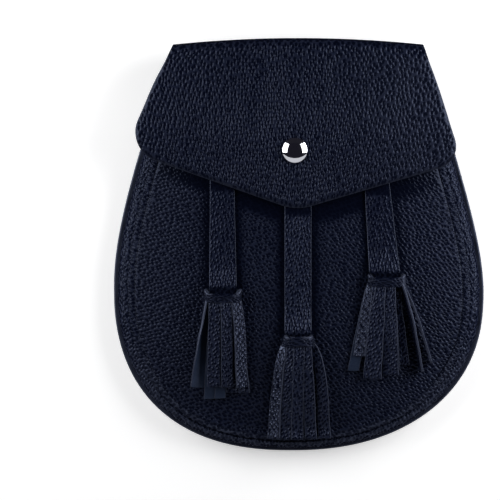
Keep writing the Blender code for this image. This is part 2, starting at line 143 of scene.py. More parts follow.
# Flap: five corners, of which the lower three are rounded.
Corner = namedtuple("Corner", "x y radius steps")
FOLD_MIDDLE_X = -0.4
FOLD_HALF_WIDTH = 61.2
FOLD_CORNER_Y = 98.0
FOLD_MIDDLE_Y = 101.1
FOLD_DEPTH = 8.0
FLAP_LEFT = Corner(-85.7, 46.4, 15.0, 18)
FLAP_TIP = Corner(-1.4, 16.6, 24.0, 14)
FLAP_RIGHT = Corner(79.9, 40.6, 11.0, 16)
FLAP_EDGE_STEPS = 190
FLAP_SIDE_STEPS = 40
FLAP_LEFT_BOW = 0.6
FLAP_RIGHT_BOW = 0.4
FLAP_BOW_POWER = 0.75
FLAP_TAIL_HALF_WIDTH = 58.0
FLAP_TAIL_ROWS_Y = (70.0, 73.0, 77.0, 81.0, 85.0, 89.0)
FLAP_MIDDLE_Z = 21.7
FLAP_SIDE_DROP = 4.6
FLAP_SIDE_POWER = 2.2
FLAP_FOLD_DROP = 1.2
FOLD_STEPS = 26
FLAP_FRONT_STEPS = 66
FLAP_RIM = 0.6
FLAP_ROLL = 0.6
FLAP_ROLL_WIDTH = 3.0
FLAP_SWELL = Wave(0.22, 30.0, 8.0)
FLAP_SWELL_FADE = 12.0
FLAP_EDGED = 0.22
FLAP_EDGED_WIDTH = 1.5
FLAP_RIM_PRESSED = 4.0
FOLD_POWER = 3.0
FAN_X = -12.0
FAN_Y = -150.0
FAN_REACH = 210.0
# Painted shadow: under the flap and a little below its free edge, reaching further at the right, and beside
# the straps, the front and the straps are drawn darker and smoother.
SHADOW_REACH_LEFT = 8.0
SHADOW_REACH_RIGHT = 15.0
SHADOW_FADE = 0.5
SHADOW_STRENGTH = 0.72
STRAP_SHADOW_SHARE = 0.42
BESIDE_STRAP_SHADOW = 0.8
BESIDE_STRAP_SHADOW_REACH = 6.0
# Painted light: the flap's right part and the front's left part are drawn lighter.
FLAP_RIGHT_LIGHT = 0.17
FLAP_RIGHT_LIGHT_XS = (15.0, 60.0)
PANEL_LEFT_LIGHT = 0.1
PANEL_LEFT_LIGHT_XS = (-42.0, -60.0)
DIMPLE_DEPTH = 0.3
DIMPLE_WIDTH = 8.5

# Press stud.
STUD_X = -2.1
STUD_Y = 46.0
CAP_RADIUS = 6.25
CAP_HEIGHT = 3.0
CAP_BALL_RADIUS = 9.6
CAP_RINGS = 14
CAP_SIDES = 72
CAP_ROLL = 0.22
FACING_UP = 0.9

# Tassels: a strap that runs down the front panel, a rolled head and a fringe of strips.
Strap = namedtuple("Strap", "top_y top_x top_width end_x end_width")
Head = namedtuple("Head", "x top_y bottom_y width dip flare pale_from pale_end", defaults=(False,))
Strip = namedtuple(
    "Strip",
    "root_x tip_x length root_width tip_width root_lift tip_lift root_turn tip_turn bow turned_over",
    defaults=(0.0, False),
)
Tassel = namedtuple("Tassel", "side strap head strips")

# A ring round a head: drawn in by the inset, its front lowered by the dip, with the slot of the faces below.
Ring = namedtuple("Ring", "y inset dip slot")

STRAP_STEPS = 60
STRAP_PIECES = 12
STRAP_RISE_LENGTH = 16.0
STRAP_EDGE = 0.34
STRAP_WAVE = Wave(0.12, 9.0, 5.0)
STRAP_CROWN = 0.2
# Painted shade: the two side straps are drawn darker and smoother.
SIDE_STRAP_SHADE = 0.15
SIDE_FACING = 0.1
TONGUE_STEPS = 6
TONGUE_TAPER = 1.5
TONGUE_DROP = 2.3
TONGUE_BENT_EARLY = 0.6
HEAD_THICK = 7.4
HEAD_WALL = 1.5
HEAD_RECESS = 3.6
HEAD_SIDES = 72
HEAD_POWER = 2.6
HEAD_SOFT = 0.7
HEAD_TAPER = 0.45
HEAD_RIM_PRESSED = 0.35
HEAD_FRONT_Z = 0.625
HEAD_FRONT_POWER = 8
HEAD_BODY_RINGS = 12
HEAD_RUN = 9.0
HEAD_CRUMPLE = Wave(0.2, 2.6, 2.0)
HEAD_RAGGED = Wave(0.5, 2.4, 4.0)
HEAD_RAGGED_DOWN = 1 / 3
HEAD_TORN = Wave(0.7, 2.3, 0.0)
# Painted highlights on the heads' crinkled corners.
HEAD_CORNER_HIGHLIGHT = Wave(1.2, 2.3, 2.0)
HEAD_CORNER_HIGHLIGHT_MORE = 0.3
HEAD_CORNER_HIGHLIGHT_COSINES = (0.475, 0.725)
HEAD_CORNER_HIGHLIGHT_HEIGHTS = (1.2, 5.2)
HEAD_GIRTH_SHARE = 0.9
HEAD_PALE_END = 0.8
STRIP_STEPS = 30
STRIP_PIECES = 8
STRIP_EDGE = 0.3
STRIP_TUCK = 2.4
STRIP_END_ROUND = 0.22
STRIP_BOW_POWER = 0.6
STRIP_WANDER = Wave(0.35, 11.0, 6.0)
STRIP_SWAY = Wave(5.0, 14.0, 9.0)
STRIP_LIFTED = Wave(0.3, 16.0, 4.0)
STRIP_CUP = Wave(0.22, 20.0, 1.0)
STRIP_SLANT = Wave(0.16, 3.0, 0.0)
STRIP_CUPPED = 1.6
CURLED_LIFT = 4.0
CURLED_TURNS = (15, 60)
MAP_SHIFT_UP = 0.7
STRIP_MAP_SHIFT = 17.0

TASSELS = (
    Tassel(
        "left",
        Strap(56.0, -37.8, 11.2, -37.2, 13.6),
        Head(-37.3, -21.7, -28.6, 18.2, 2.4, -0.5, 0.7),
        (
            Strip(-4.2, -6.8, 46.4, 5.4, 5.4, 2.1, 1.3, 0, 0, 0.0, True),
            Strip(-0.4, -1.5, 46.2, 5.4, 5.4, 2.4, 1.5, 0, 0, 0.0, True),
            Strip(2.6, 5.0, 43.4, 6.0, 6.8, 2.2, 1.3, 0, 0),
            Strip(5.2, 10.6, 43.6, 5.0, 5.4, 2.4, 1.7, 25, 14, 0.4),
            Strip(-6.9, -12.6, 40.8, 5.0, 7.6, 3.8, 1.9, -78, -30, -0.4, True),
            Strip(-3.9, -4.4, 40.6, 5.8, 6.8, 5.5, 3.9, 4, 3),
            Strip(1.6, 2.2, 40.8, 5.4, 5.9, 5.8, 4.2, -4, -5),
            Strip(6.0, 9.6, 40.9, 5.4, 6.8, 4.8, 3.9, -20, -33, 0.8),
        ),
    ),
    Tassel(
        "centre",
        Strap(37.0, -0.5, 13.2, -0.5, 13.2),
        Head(-0.3, -44.1, -50.2, 14.9, 1.0, 0.8, 0.3),
        (
            Strip(-3.0, -9.0, 42.0, 5.2, 6.2, 2.2, 1.3, 0, 0),
            Strip(0.0, 0.8, 43.0, 5.2, 6.2, 2.4, 1.6, 0, 0),
            Strip(3.2, 9.4, 42.2, 5.2, 6.2, 2.2, 1.3, 0, 0, 0.6),
            Strip(-5.4, -12.2, 44.2, 4.6, 6.7, 4.4, 3.2, 26, 28, -2.0),
            Strip(5.2, 12.6, 44.1, 4.6, 6.2, 3.6, 2.8, 12, 6, 3.2),
            Strip(-2.9, -6.8, 44.6, 5.6, 6.2, 5.5, 3.9, 6, 8),
            Strip(0.3, -0.8, 44.7, 5.4, 6.0, 5.8, 4.3, -5, -6),
            Strip(3.2, 6.0, 44.3, 5.2, 5.8, 5.5, 3.9, 5, 7, 0.6),
        ),
    ),
    Tassel(
        "right",
        Strap(56.0, 35.9, 10.6, 42.2, 15.4),
        Head(42.8, -14.3, -21.0, 18.5, 1.9, 0.0, 0.78, True),
        (
            Strip(-2.6, -4.6, 41.0, 5.4, 6.4, 2.2, 1.3, 0, 0),
            Strip(1.6, 3.6, 40.0, 5.4, 6.4, 2.4, 1.5, 0, 0),
            Strip(-6.8, -16.2, 40.2, 5.0, 5.6, 2.9, 1.3, 10, 4, -0.6, True),
            Strip(3.8, 8.8, 37.4, 5.0, 5.4, 2.9, 1.8, 10, 6),
            Strip(-6.2, -13.4, 33.0, 5.4, 6.0, 4.4, 2.9, 22, 12, -0.9),
            Strip(-3.6, -6.9, 44.1, 6.6, 9.0, 5.5, 3.9, 5, 5),
            Strip(1.4, 2.1, 42.2, 5.6, 8.0, 5.8, 4.2, 6, 8),
            Strip(6.4, 17.4, 40.8, 5.0, 6.2, 4.6, 4.1, 72, 80, 1.2),
            Strip(7.4, 22.4, 36.4, 5.0, 6.2, 4.4, 4.4, -80, -84, 1.6),
        ),
    ),
)

# Studio.
MIDDLE_Z = 12.0
VIEW_X = -24.0
VIEW_Y = -2.7
VIEW_WIDTH = 245.0
LENS = 600.0
SENSOR = 36.0
CLIP_END = 20.0
FLOOR_SIZE = 8000.0
FLOOR_DROP = 0.2
FLOOR_CLOUD = 3.0
FLOOR_GREYS = (0.9, 0.93)
FLOOR_PAPER = {
    "Roughness": 0.9,
    "Specular IOR Level": 0.1,
    "Emission Color": (1.0, 1.0, 1.0, 1.0),
    "Emission Strength": 0.4,
}
SURROUND_COLOR = (0.72, 0.67, 1.0, 1.0)
SURROUND_STRENGTH = 0.0155

# Soft boxes at both sides, a dim one above the fold and a reflector below the pouch.
SoftBox = namedtuple("SoftBox", "name place aim width height radiance")
STUD_PLACE = (STUD_X, STUD_Y, 25)
SOFT_BOXES = (
    SoftBox("softbox_left", (-392, 152, 224), STUD_PLACE, 405, 306, 4.45),
    SoftBox("softbox_right", (388, 152, 224), STUD_PLACE, 405, 306, 6.15),
    SoftBox("card_above", (0, 809, 420), STUD_PLACE, 1400, 516, 0.004),
    SoftBox("reflector_below", (0, -854, 495), (0, -754, 495), 5600, 740, 0.63),
)


# ---------------------------------------------------------------- shapes that several pieces share


def smoothstep(value, start=0.0, end=1.0):
    """0 before the start, 1 past the end, and a smooth step between them."""
    t = min(1.0, max(0.0, (value - start) / (end - start)))
    return t * t * (3 - 2 * t)


def between(start, end, share):
    """The value at a share of the way from start to end."""
    return start + (end - start) * share


def ripple(wave, x, y, more=0.0):
    """The height of a soft random wave at x, y; more is added to its seed."""
    return wave.height * noise.noise(Vector((x / wave.length, y / wave.length, wave.seed + more)))


def rise(y):
    """How far the back panel, and all that lies on it, is raised at y."""
    return RISE * smoothstep(y, RISE_START_Y, RISE_END_Y)


def half_width(y, inset=0.0):
    """Half the body's width at y, or of the shape that lies the inset within it."""
    widest = WIDEST_HALF_WIDTH - inset
    if y >= WIDEST_Y:
        return widest - SIDE_SLOPE * (math.hypot(y - WIDEST_Y, SIDE_ROUND) - SIDE_ROUND)
    drop = min(1.0, (WIDEST_Y - y) / (WIDEST_Y - BOTTOM_Y - inset))
    return widest * (1 - drop**BOTTOM_POWER) ** (1 / BOTTOM_POWER)


def midline(y):
    """The x of the body's middle at y, since the pouch isn't quite even."""
    if y > WIDEST_Y:
        return -SIDE_LEAN * math.sin(math.pi * (y - WIDEST_Y) / (FOLD_MIDDLE_Y - WIDEST_Y))
    below = max(0.0, BOTTOM_LEAN_Y - y) / (BOTTOM_LEAN_Y - BOTTOM_Y)
    return -BOTTOM_LEAN * below**2


def half_stations(top_y):
    """(half width, y) down the right half of the outline, from top_y to the lowest point."""
    stations = []
    for i in range(SIDE_STATIONS):
        y = between(top_y, WIDEST_Y, i / SIDE_STATIONS)
        stations.append((half_width(y), y))
    for i in range(BOTTOM_STATIONS + 1):
        angle = i / BOTTOM_STATIONS * math.pi / 2
        across = max(0.0, math.cos(angle)) ** (2 / BOTTOM_POWER)
        down = math.sin(angle) ** (2 / BOTTOM_POWER)
        stations.append((WIDEST_HALF_WIDTH * across, WIDEST_Y - (WIDEST_Y - BOTTOM_Y) * down))
    return stations


def outline(top_y):
    """Points and inward normals round the body, from the left top corner down and up to the right one."""
    right = half_stations(top_y)
    left = [(-half, y) for half, y in right]
    points = [Vector((midline(y) + x, y)) for x, y in left + right[-2::-1]]
    last = len(points) - 1
    normals = []
    for i in range(last + 1):
        along = points[min(i + 1, last)] - points[max(i - 1, 0)]
        normals.append(Vector((-along.y, along.x)).normalized())
    return points, normals


def dome(x, y):
    """The height of the front panel's outer face at x, y, and of its crease beyond it."""
    side = abs(x - midline(y))
    if y >= WIDEST_Y:
        share = side / half_width(y, CREASE_INSET)
    else:
        across = side / (WIDEST_HALF_WIDTH - CREASE_INSET)
        down = (WIDEST_Y - y) / (WIDEST_Y - BOTTOM_Y - CREASE_INSET)
        share = (across**BOTTOM_POWER + down**BOTTOM_POWER) ** (1 / BOTTOM_POWER)
    dip = MOUTH_DIP * smoothstep(y, MOUTH_DIP_START_Y, MOUTH_Y)
    swell = DOME_HEIGHT * (1 - dip) * (1 - min(1.0, share) ** DOME_POWER)
    return CREASE_Z + swell + rise(y)


def flap_height(x, y):
    """The height of the flap's outer face at x, y."""
    side = FLAP_SIDE_DROP * (abs(x) / abs(FLAP_LEFT.x)) ** FLAP_SIDE_POWER
    fold = FLAP_FOLD_DROP * smoothstep(y, STUD_Y, FOLD_CORNER_Y)
    return FLAP_MIDDLE_Z - side - fold + rise(y)


def spine_of(point, top_y):
    """The point on the body's middle that an outline point's row runs in to."""
    y = between(top_y, point.y, SPINE_SHARE)
    return Vector((midline(y), y))


def smooth_section(insets, heights, steps):
    """A smooth curve through a section's points, with steps pieces to each stretch."""
    points = [Vector(part) for part in zip(insets, heights)]
    ends = [2 * points[0] - points[1], *points, 2 * points[-1] - points[-2]]
    curve = []
    for before, start, end, after in zip(ends, ends[1:], ends[2:], ends[3:]):
        slope = end - before
        bend = 2 * before - 5 * start + 4 * end - after
        twist = 3 * start - before - 3 * end + after
        for i in range(steps):
            t = i / steps
            curve.append(0.5 * (2 * start + slope * t + bend * t**2 + twist * t**3))
    return curve + [points[-1]]


def rounded_corner(before, corner, after):
    """Points along a corner's arc, between the directions to the corners before and after it."""
    here = Vector((corner.x, corner.y))
    back = (Vector(before) - here).normalized()
    on = (Vector(after) - here).normalized()
    half_turn = back.angle(on) / 2
    centre = here + (back + on).normalized() * corner.radius / math.sin(half_turn)
    first = here + back * corner.radius / math.tan(half_turn) - centre
    sweep = math.copysign(math.pi - 2 * half_turn, back.cross(on))
    start = math.atan2(first.y, first.x)
    points = []
    for i in range(corner.steps + 1):
        angle = start - sweep * i / corner.steps
        points.append(centre + corner.radius * Vector((math.cos(angle), math.sin(angle))))
    return points


def resampled(points, count):
    """count + 1 points at even steps along a line of points."""
    run = [0.0]
    for before, point in zip(points, points[1:]):
        run.append(run[-1] + (point - before).length)
    even = []
    at = 0
    for i in range(count + 1):
        goal = run[-1] * i / count
        while at < len(run) - 2 and run[at + 1] < goal:
            at += 1
        even.append(points[at].lerp(points[at + 1], (goal - run[at]) / (run[at + 1] - run[at])))
    return even


def fold_place(share):
    """Where the fold's crest and the front's top lie at a share from -1 to 1 across the flap, in plan."""
    crest = Vector((FOLD_MIDDLE_X + FOLD_HALF_WIDTH * share, between(FOLD_MIDDLE_Y, FOLD_CORNER_Y, share**2)))
    corner = FLAP_LEFT if share < 0 else FLAP_RIGHT
    end = abs(FOLD_MIDDLE_X + math.copysign(FOLD_HALF_WIDTH, share) - corner.x)
    spread = FOLD_DEPTH * end / (FOLD_CORNER_Y - corner.y)
    return crest, Vector((crest.x + spread * share, crest.y - FOLD_DEPTH))


def flap_side(share, arc):
    """The front's side in plan, from the fold down to the middle of the lower corner's arc."""
    top = fold_place(share)[1]
    bow = FLAP_LEFT_BOW if share < 0 else FLAP_RIGHT_BOW
    points = []
    for i in range(FLAP_SIDE_STEPS):
        down = i / FLAP_SIDE_STEPS
        p = top.lerp(arc[0], down)
        p.x += bow * share * math.sin(math.pi * down**FLAP_BOW_POWER) ** 2
        points.append(p)
    return resampled(points + arc, FLAP_FRONT_STEPS)


def flap_front():
    """The front in plan, as columns from left to right, each from the fold down to the free edge."""
    corners = (FLAP_LEFT, FLAP_TIP, FLAP_RIGHT)
    places = [(FOLD_MIDDLE_X - FOLD_HALF_WIDTH, FOLD_CORNER_Y)]
    places += [(corner.x, corner.y) for corner in corners]
    places += [(FOLD_MIDDLE_X + FOLD_HALF_WIDTH, FOLD_CORNER_Y)]
    arcs = [rounded_corner(*around) for around in zip(places, corners, places[2:])]
    half_left, half_right = FLAP_LEFT.steps // 2, FLAP_RIGHT.steps // 2
    left = flap_side(-1, arcs[0][: half_left + 1])
    right = flap_side(1, arcs[2][: half_right - 1 : -1])
    bottom = resampled(arcs[0][half_left:] + arcs[1] + arcs[2][: half_right + 1], FLAP_EDGE_STEPS)
    columns = []
    for i, low in enumerate(bottom):
        u = i / FLAP_EDGE_STEPS
        high = fold_place(2 * u - 1)[1]
        column = []
        for j in range(FLAP_FRONT_STEPS + 1):
            v = j / FLAP_FRONT_STEPS
            sides = left[j].lerp(right[j], u)
            ends = high.lerp(low, v)
            corner = left[0].lerp(right[0], u).lerp(left[-1].lerp(right[-1], u), v)
            column.append(sides + ends - corner)
        columns.append(column)
    return columns


FLAP_FRONT = flap_front()


def flap_shadow(x, y, share=1.0):
    """1 under the flap, 0 from a little below its free edge: how much painted shadow darkens and smooths the
    leather there.
    """
    low = [column[-1] for column in FLAP_FRONT]
    for before, after in zip(low, low[1:]):
        if before.x <= x < after.x:
            edge_y = between(before.y, after.y, (x - before.x) / (after.x - before.x))
            reach = share * between(SHADOW_REACH_LEFT, SHADOW_REACH_RIGHT, (x - low[0].x) / (low[-1].x - low[0].x))
            return smoothstep((y - edge_y + reach) / (SHADOW_FADE * reach))
    return 0.0


def painted_shadow(x, y):
    """How much painted shadow darkens and smooths the front at x, y, cast by the flap or a strap over or
    beside it.
    """
    shadow = flap_shadow(x, y)
    for tassel in TASSELS:
        strap = tassel.strap
        share = (strap.top_y - y) / (strap.top_y - tassel.head.top_y)
        if 0 < share < 1:
            middle = between(strap.top_x, strap.end_x, share)
            away = abs(x - middle) - between(strap.top_width, strap.end_width, share) / 2
            shadow = max(shadow, BESIDE_STRAP_SHADOW * smoothstep(away, BESIDE_STRAP_SHADOW_REACH, 0))
    return shadow


# ---------------------------------------------------------------- node groups and materials

# Where most of a noise texture's values lie.
NOISE_RANGE = (0.3, 0.7)

# Pebbled grain: lengths in cells, levels from 0 in the pits to 1 on the pebbles.
GRAIN_DIAGONAL = math.radians(45)
GRAIN_DRIFTS = ((0.09, 1.4), (0.42, 0.36))
PIT_RANDOMNESS = 0.6
SPLIT_SCALE = 1.9
SPLIT_RANDOMNESS = 0.9
SPLIT_WIDTH = 0.15
SPLIT_DEPTH = 0.1
DOMED_REACH = 0.82
PEBBLE_REACH = (0.2, 0.62)
PIT_REACH = (0.25, 0.6)
PORE_SCALE = 3.2
PORE_DEPTH = 0.12
PORE_LEVEL = 0.04
PRESSED_FLAT = 0.93
PRESSED_LEVEL = 0.35
PRESSED_CREASE = 0.7

# The hide's dye, rubs and shine, and the painted shade where it is pressed and where it is shadowed.
DYE_SCALE = 38.0
RUBBED_LEVELS = (0.45, 0.95)
RUBBED_BY_DYE = (0.75, 0.9)
RUBBED_BY_TONE = (0.8, 1.0)
GREASE_SCALE = 85.0
GREASE_ROUGH = 0.015
TONE_ROUGH = 0.06
CREASE_ROUGH = 0.1
PRESSED_SHADE = 0.6
PRESSED_SHADE_COLOUR = 0.35
TOP_LEVELS = (0.3, 0.9)
PIT_EDGED = 0.2
GRAIN_SHIFT_UP = 0.6

# Bare fibres and brushed metal.
PATCH_SCALE = 0.12
PATCH_LEAST = 0.55
BRUSH_STRETCH = 0.04
BRUSH_SCALE = 6000.0
BRUSH_SHARE = 0.6
SMUDGE_SCALE = 260.0


def fill(tree, node, inputs):
    """Gives a node's inputs, by name or number, a value or another node's output."""
    for key, value in inputs.items():
        if isinstance(value, bpy.types.NodeSocket):
            tree.links.new(value, node.inputs[key])
        else:
            node.inputs[key].default_value = value


def add_node(tree, kind, inputs=None, **settings):
    """A node of this kind, with these inputs and settings."""
    node = tree.nodes.new(kind)
    for key, value in settings.items():
        setattr(node, key, value)
    fill(tree, node, inputs or {})
    return node


def maths(tree, operation, *values, clamp=False):
    """The output of a Math node on these values."""
    node = add_node(tree, "ShaderNodeMath", dict(enumerate(values)), operation=operation, use_clamp=clamp)
    return node.outputs[0]


def vectors(tree, operation, *values):
    """The vector output of a Vector Math node on these values."""
    node = add_node(tree, "ShaderNodeVectorMath", dict(enumerate(values)), operation=operation)
    return node.outputs[0]


def remap(tree, value, low, high, to_low=0.0, to_high=1.0):
    """A value taken smoothly from one range to another and held inside it."""
    places = {"Value": value, "From Min": low, "From Max": high, "To Min": to_low, "To Max": to_high}
    return add_node(tree, "ShaderNodeMapRange", places, interpolation_type="SMOOTHSTEP").outputs[0]


def mixed(tree, share, start, end):
    """Two colours mixed."""
    return add_node(tree, "ShaderNodeMix", {0: share, 6: start, 7: end}, data_type="RGBA").outputs[2]


def cloud(tree, place, scale, detail=2.0, roughness=0.5):
    """The grey output of a noise texture at this place."""
    inputs = {"Vector": place, "Scale": scale, "Detail": detail, "Roughness": roughness}
    return add_node(tree, "ShaderNodeTexNoise", inputs).outputs["Fac"]


def voronoi(tree, place, scale, randomness, feature):
    """The outputs of a flat Voronoi texture at this place."""
    inputs = {"Vector": place, "Scale": scale, "Randomness": randomness}
    return add_node(tree, "ShaderNodeTexVoronoi", inputs, voronoi_dimensions="2D", feature=feature).outputs


def new_group(name, inputs, outputs):
    """An empty node group with its input and output sockets, which are floats where no kind is named."""
    group = bpy.data.node_groups.new(name, "ShaderNodeTree")
    for side, sockets in (("INPUT", inputs), ("OUTPUT", outputs)):
        for socket in sockets:
            label, _, kind = socket.partition(":")
            group.interface.new_socket(label, in_out=side, socket_type="NodeSocket" + (kind or "Float"))
    return group, group.nodes.new("NodeGroupInput").outputs, group.nodes.new("NodeGroupOutput").inputs


def pebble_grain_group():
    """Pebbled hide grain: evenly spaced deep pits in a net of pebbles; Domed turns it inside out. Its crease
    output marks the pits, and the pressed and shadowed parts, for painted shade.
    """
    inputs = ("Place:Vector", "Cell", "Stretch", "Domed", "Pressed")
    group, given, out = new_group("pebble_grain", inputs, ("Height", "Crease", "Tone"))
    per_cell = maths(group, "DIVIDE", 1.0, given["Cell"])
    lengthwise = maths(group, "DIVIDE", per_cell, given["Stretch"])
    scale = add_node(group, "ShaderNodeCombineXYZ", {0: per_cell, 1: lengthwise, 2: per_cell}).outputs[0]
    cells = vectors(group, "MULTIPLY", given["Place"], scale)
    turned = {"Vector": cells, "Angle": GRAIN_DIAGONAL}
    cells = add_node(group, "ShaderNodeVectorRotate", turned).outputs[0]
    for finer, reach in GRAIN_DRIFTS:
        drift = add_node(group, "ShaderNodeTexNoise", {"Vector": cells, "Scale": finer, "Detail": 1.5})
        drift = vectors(group, "SUBTRACT", drift.outputs["Color"], (0.5, 0.5, 0.5))
        cells = vectors(group, "ADD", cells, vectors(group, "MULTIPLY", drift, (reach, reach, 0.0)))
    centre = voronoi(group, cells, 1.0, PIT_RANDOMNESS, "F1")
    split = voronoi(group, cells, SPLIT_SCALE, SPLIT_RANDOMNESS, "DISTANCE_TO_EDGE")["Distance"]
    reach = centre["Distance"]
    inside_out = maths(group, "SUBTRACT", DOMED_REACH, reach)
    inside_out = maths(group, "MULTIPLY", maths(group, "SUBTRACT", inside_out, reach), given["Domed"])
    reach = maths(group, "ADD", reach, inside_out)
    pebble = remap(group, reach, *PEBBLE_REACH)
    notch = maths(group, "MULTIPLY", remap(group, split, 0.0, SPLIT_WIDTH, 1.0, 0.0), SPLIT_DEPTH)
    height = maths(group, "SUBTRACT", pebble, notch)
    pores = maths(group, "MULTIPLY", cloud(group, cells, PORE_SCALE, 3.0, 0.6), PORE_DEPTH)
    height = maths(group, "ADD", height, maths(group, "SUBTRACT", pores, PORE_LEVEL), clamp=True)
    flat = maths(group, "SUBTRACT", 1.0, maths(group, "MULTIPLY", given["Pressed"], PRESSED_FLAT))
    level = maths(group, "MULTIPLY", given["Pressed"], PRESSED_LEVEL)
    group.links.new(maths(group, "MULTIPLY_ADD", height, flat, level), out["Height"])
    pit = remap(group, reach, *PIT_REACH, 1.0, 0.0)
    smooth = maths(group, "MULTIPLY", given["Pressed"], PRESSED_CREASE)
    group.links.new(maths(group, "MULTIPLY_ADD", pit, flat, smooth, clamp=True), out["Crease"])
    tone = add_node(group, "ShaderNodeSeparateColor", {0: centre["Color"]}).outputs[0]
    group.links.new(tone, out["Tone"])
    return group


def hide_tone_group():
    """Dyed hide: deeper colour in the creases, partly dye and partly painted shade, uneven dye over the
    sheet, rubbed pebble tops.
    """
    inputs = ["Place:Vector", "Height", "Crease", "Tone", "Face:Color", "Deep:Color", "Rubbed:Color"]
    inputs += ["Smooth Roughness", "Crease Roughness"]
    group, given, out = new_group("hide_tone", inputs, ("Color:Color", "Roughness"))
    dye = remap(group, cloud(group, given["Place"], DYE_SCALE, 3.0), *NOISE_RANGE)
    rub = remap(group, given["Height"], *RUBBED_LEVELS)
    rub = maths(group, "MULTIPLY", rub, remap(group, dye, 0.0, 1.0, *RUBBED_BY_DYE))
    rub = maths(group, "MULTIPLY", rub, remap(group, given["Tone"], 0.0, 1.0, *RUBBED_BY_TONE))
    colour = mixed(group, rub, given["Face"], given["Rubbed"])
    group.links.new(mixed(group, given["Crease"], colour, given["Deep"]), out["Color"])
    grease = cloud(group, given["Place"], GREASE_SCALE, 4.0)
    grease = remap(group, grease, *NOISE_RANGE, -GREASE_ROUGH, GREASE_ROUGH)
    rough = maths(group, "ADD", given["Smooth Roughness"], grease)
    rough = maths(group, "ADD", rough, maths(group, "MULTIPLY", given["Tone"], TONE_ROUGH))
    more = maths(group, "SUBTRACT", given["Crease Roughness"], given["Smooth Roughness"])
    rough = maths(group, "ADD", rough, maths(group, "MULTIPLY", given["Crease"], more), clamp=True)
    group.links.new(rough, out["Roughness"])
    return group


def fibre_group():
    """Bare leather fibres: fine nap with longer streaks, for cut edges and the flesh side."""
    inputs = ("Place:Vector", "Fibre", "Pale:Color", "Dark:Color")
    group, given, out = new_group("leather_fibre", inputs, ("Color:Color", "Height"))
    per_fibre = maths(group, "DIVIDE", 1.0, given["Fibre"])
    nap = cloud(group, given["Place"], per_fibre, 4.0, 0.65)
    patch = cloud(group, given["Place"], maths(group, "MULTIPLY", per_fibre, PATCH_SCALE), 2.0)
    patch = remap(group, patch, *NOISE_RANGE, PATCH_LEAST, 1.0)
    share = maths(group, "MULTIPLY", remap(group, nap, *NOISE_RANGE), patch)
    group.links.new(mixed(group, share, given["Dark"], given["Pale"]), out["Color"])
    group.links.new(nap, out["Height"])
    return group


def brushing_group():
    """Metal: fine lines along one direction, with faint smudges."""
    inputs = ("Place:Vector", "Low Roughness", "High Roughness")
    group, given, out = new_group("metal_brushing", inputs, ("Roughness", "Height"))
    stretched = vectors(group, "MULTIPLY", given["Place"], (1.0, BRUSH_STRETCH, 1.0))
    lines = cloud(group, stretched, BRUSH_SCALE, 3.0, 0.6)
    smudge = maths(group, "MULTIPLY", cloud(group, given["Place"], SMUDGE_SCALE, 3.0), 1 - BRUSH_SHARE)
    both = maths(group, "MULTIPLY_ADD", lines, BRUSH_SHARE, smudge)
    rough = remap(group, both, *NOISE_RANGE, given["Low Roughness"], given["High Roughness"])
    group.links.new(rough, out["Roughness"])
    group.links.new(lines, out["Height"])
    return group


GROUPS = {
    "pebble_grain": pebble_grain_group(),
    "hide_tone": hide_tone_group(),
    "leather_fibre": fibre_group(),
    "metal_brushing": brushing_group(),
}

# Dye colours, linear. The deep one is partly dye in the creases and partly painted shade in the pits and
# under the flap.
DYES = {
    "Face": (0.0038, 0.0056, 0.0152, 1.0),
    "Deep": (0.0014, 0.0021, 0.0066, 1.0),
    "Rubbed": (0.0084, 0.0106, 0.0218, 1.0),
}
# The pale edge colour: for cut and pale edges, and mixed in for painted highlights and painted light.
PALE_EDGE_AND_HIGHLIGHT = (0.036, 0.042, 0.066, 1.0)
EDGE_DARK = (0.017, 0.02, 0.034, 1.0)
BURNISHED_PALE = (0.0165, 0.02, 0.035, 1.0)
BURNISHED_DARK = (0.0075, 0.01, 0.02, 1.0)
FLESH_PALE = (0.017, 0.027, 0.053, 1.0)
FLESH_DARK = (0.005, 0.01, 0.025, 1.0)
LEATHER_TINT = (0.56, 0.66, 1.0, 1.0)


def place_group(tree, name, inputs):
    """The outputs of one of the shared groups, placed in a material."""
    return add_node(tree, "ShaderNodeGroup", inputs, node_tree=GROUPS[name]).outputs


def blank_material(name):
    """A material with a Principled shader, and its node tree."""
    material = bpy.data.materials.new(name)
    material.use_nodes = True
    return material, material.node_tree


def shade(tree, inputs, height=None, depth=0.0):
    """Fills the shader's inputs, and raises its surface by height times a depth in millimetres."""
    if height:
        relief = {"Strength": 1.0, "Distance": depth * MM, "Height": height}
        inputs["Normal"] = add_node(tree, "ShaderNodeBump", relief).outputs["Normal"]
    fill(tree, tree.nodes["Principled BSDF"], inputs)


Grain = namedtuple("Grain", "cell stretch turn depth roughness gloss dye shift domed", defaults=(0.0,))


def dyed(colour, strength):
    """A dye colour, this much lighter or darker."""
    return (colour[0] * strength, colour[1] * strength, colour[2] * strength, 1.0)


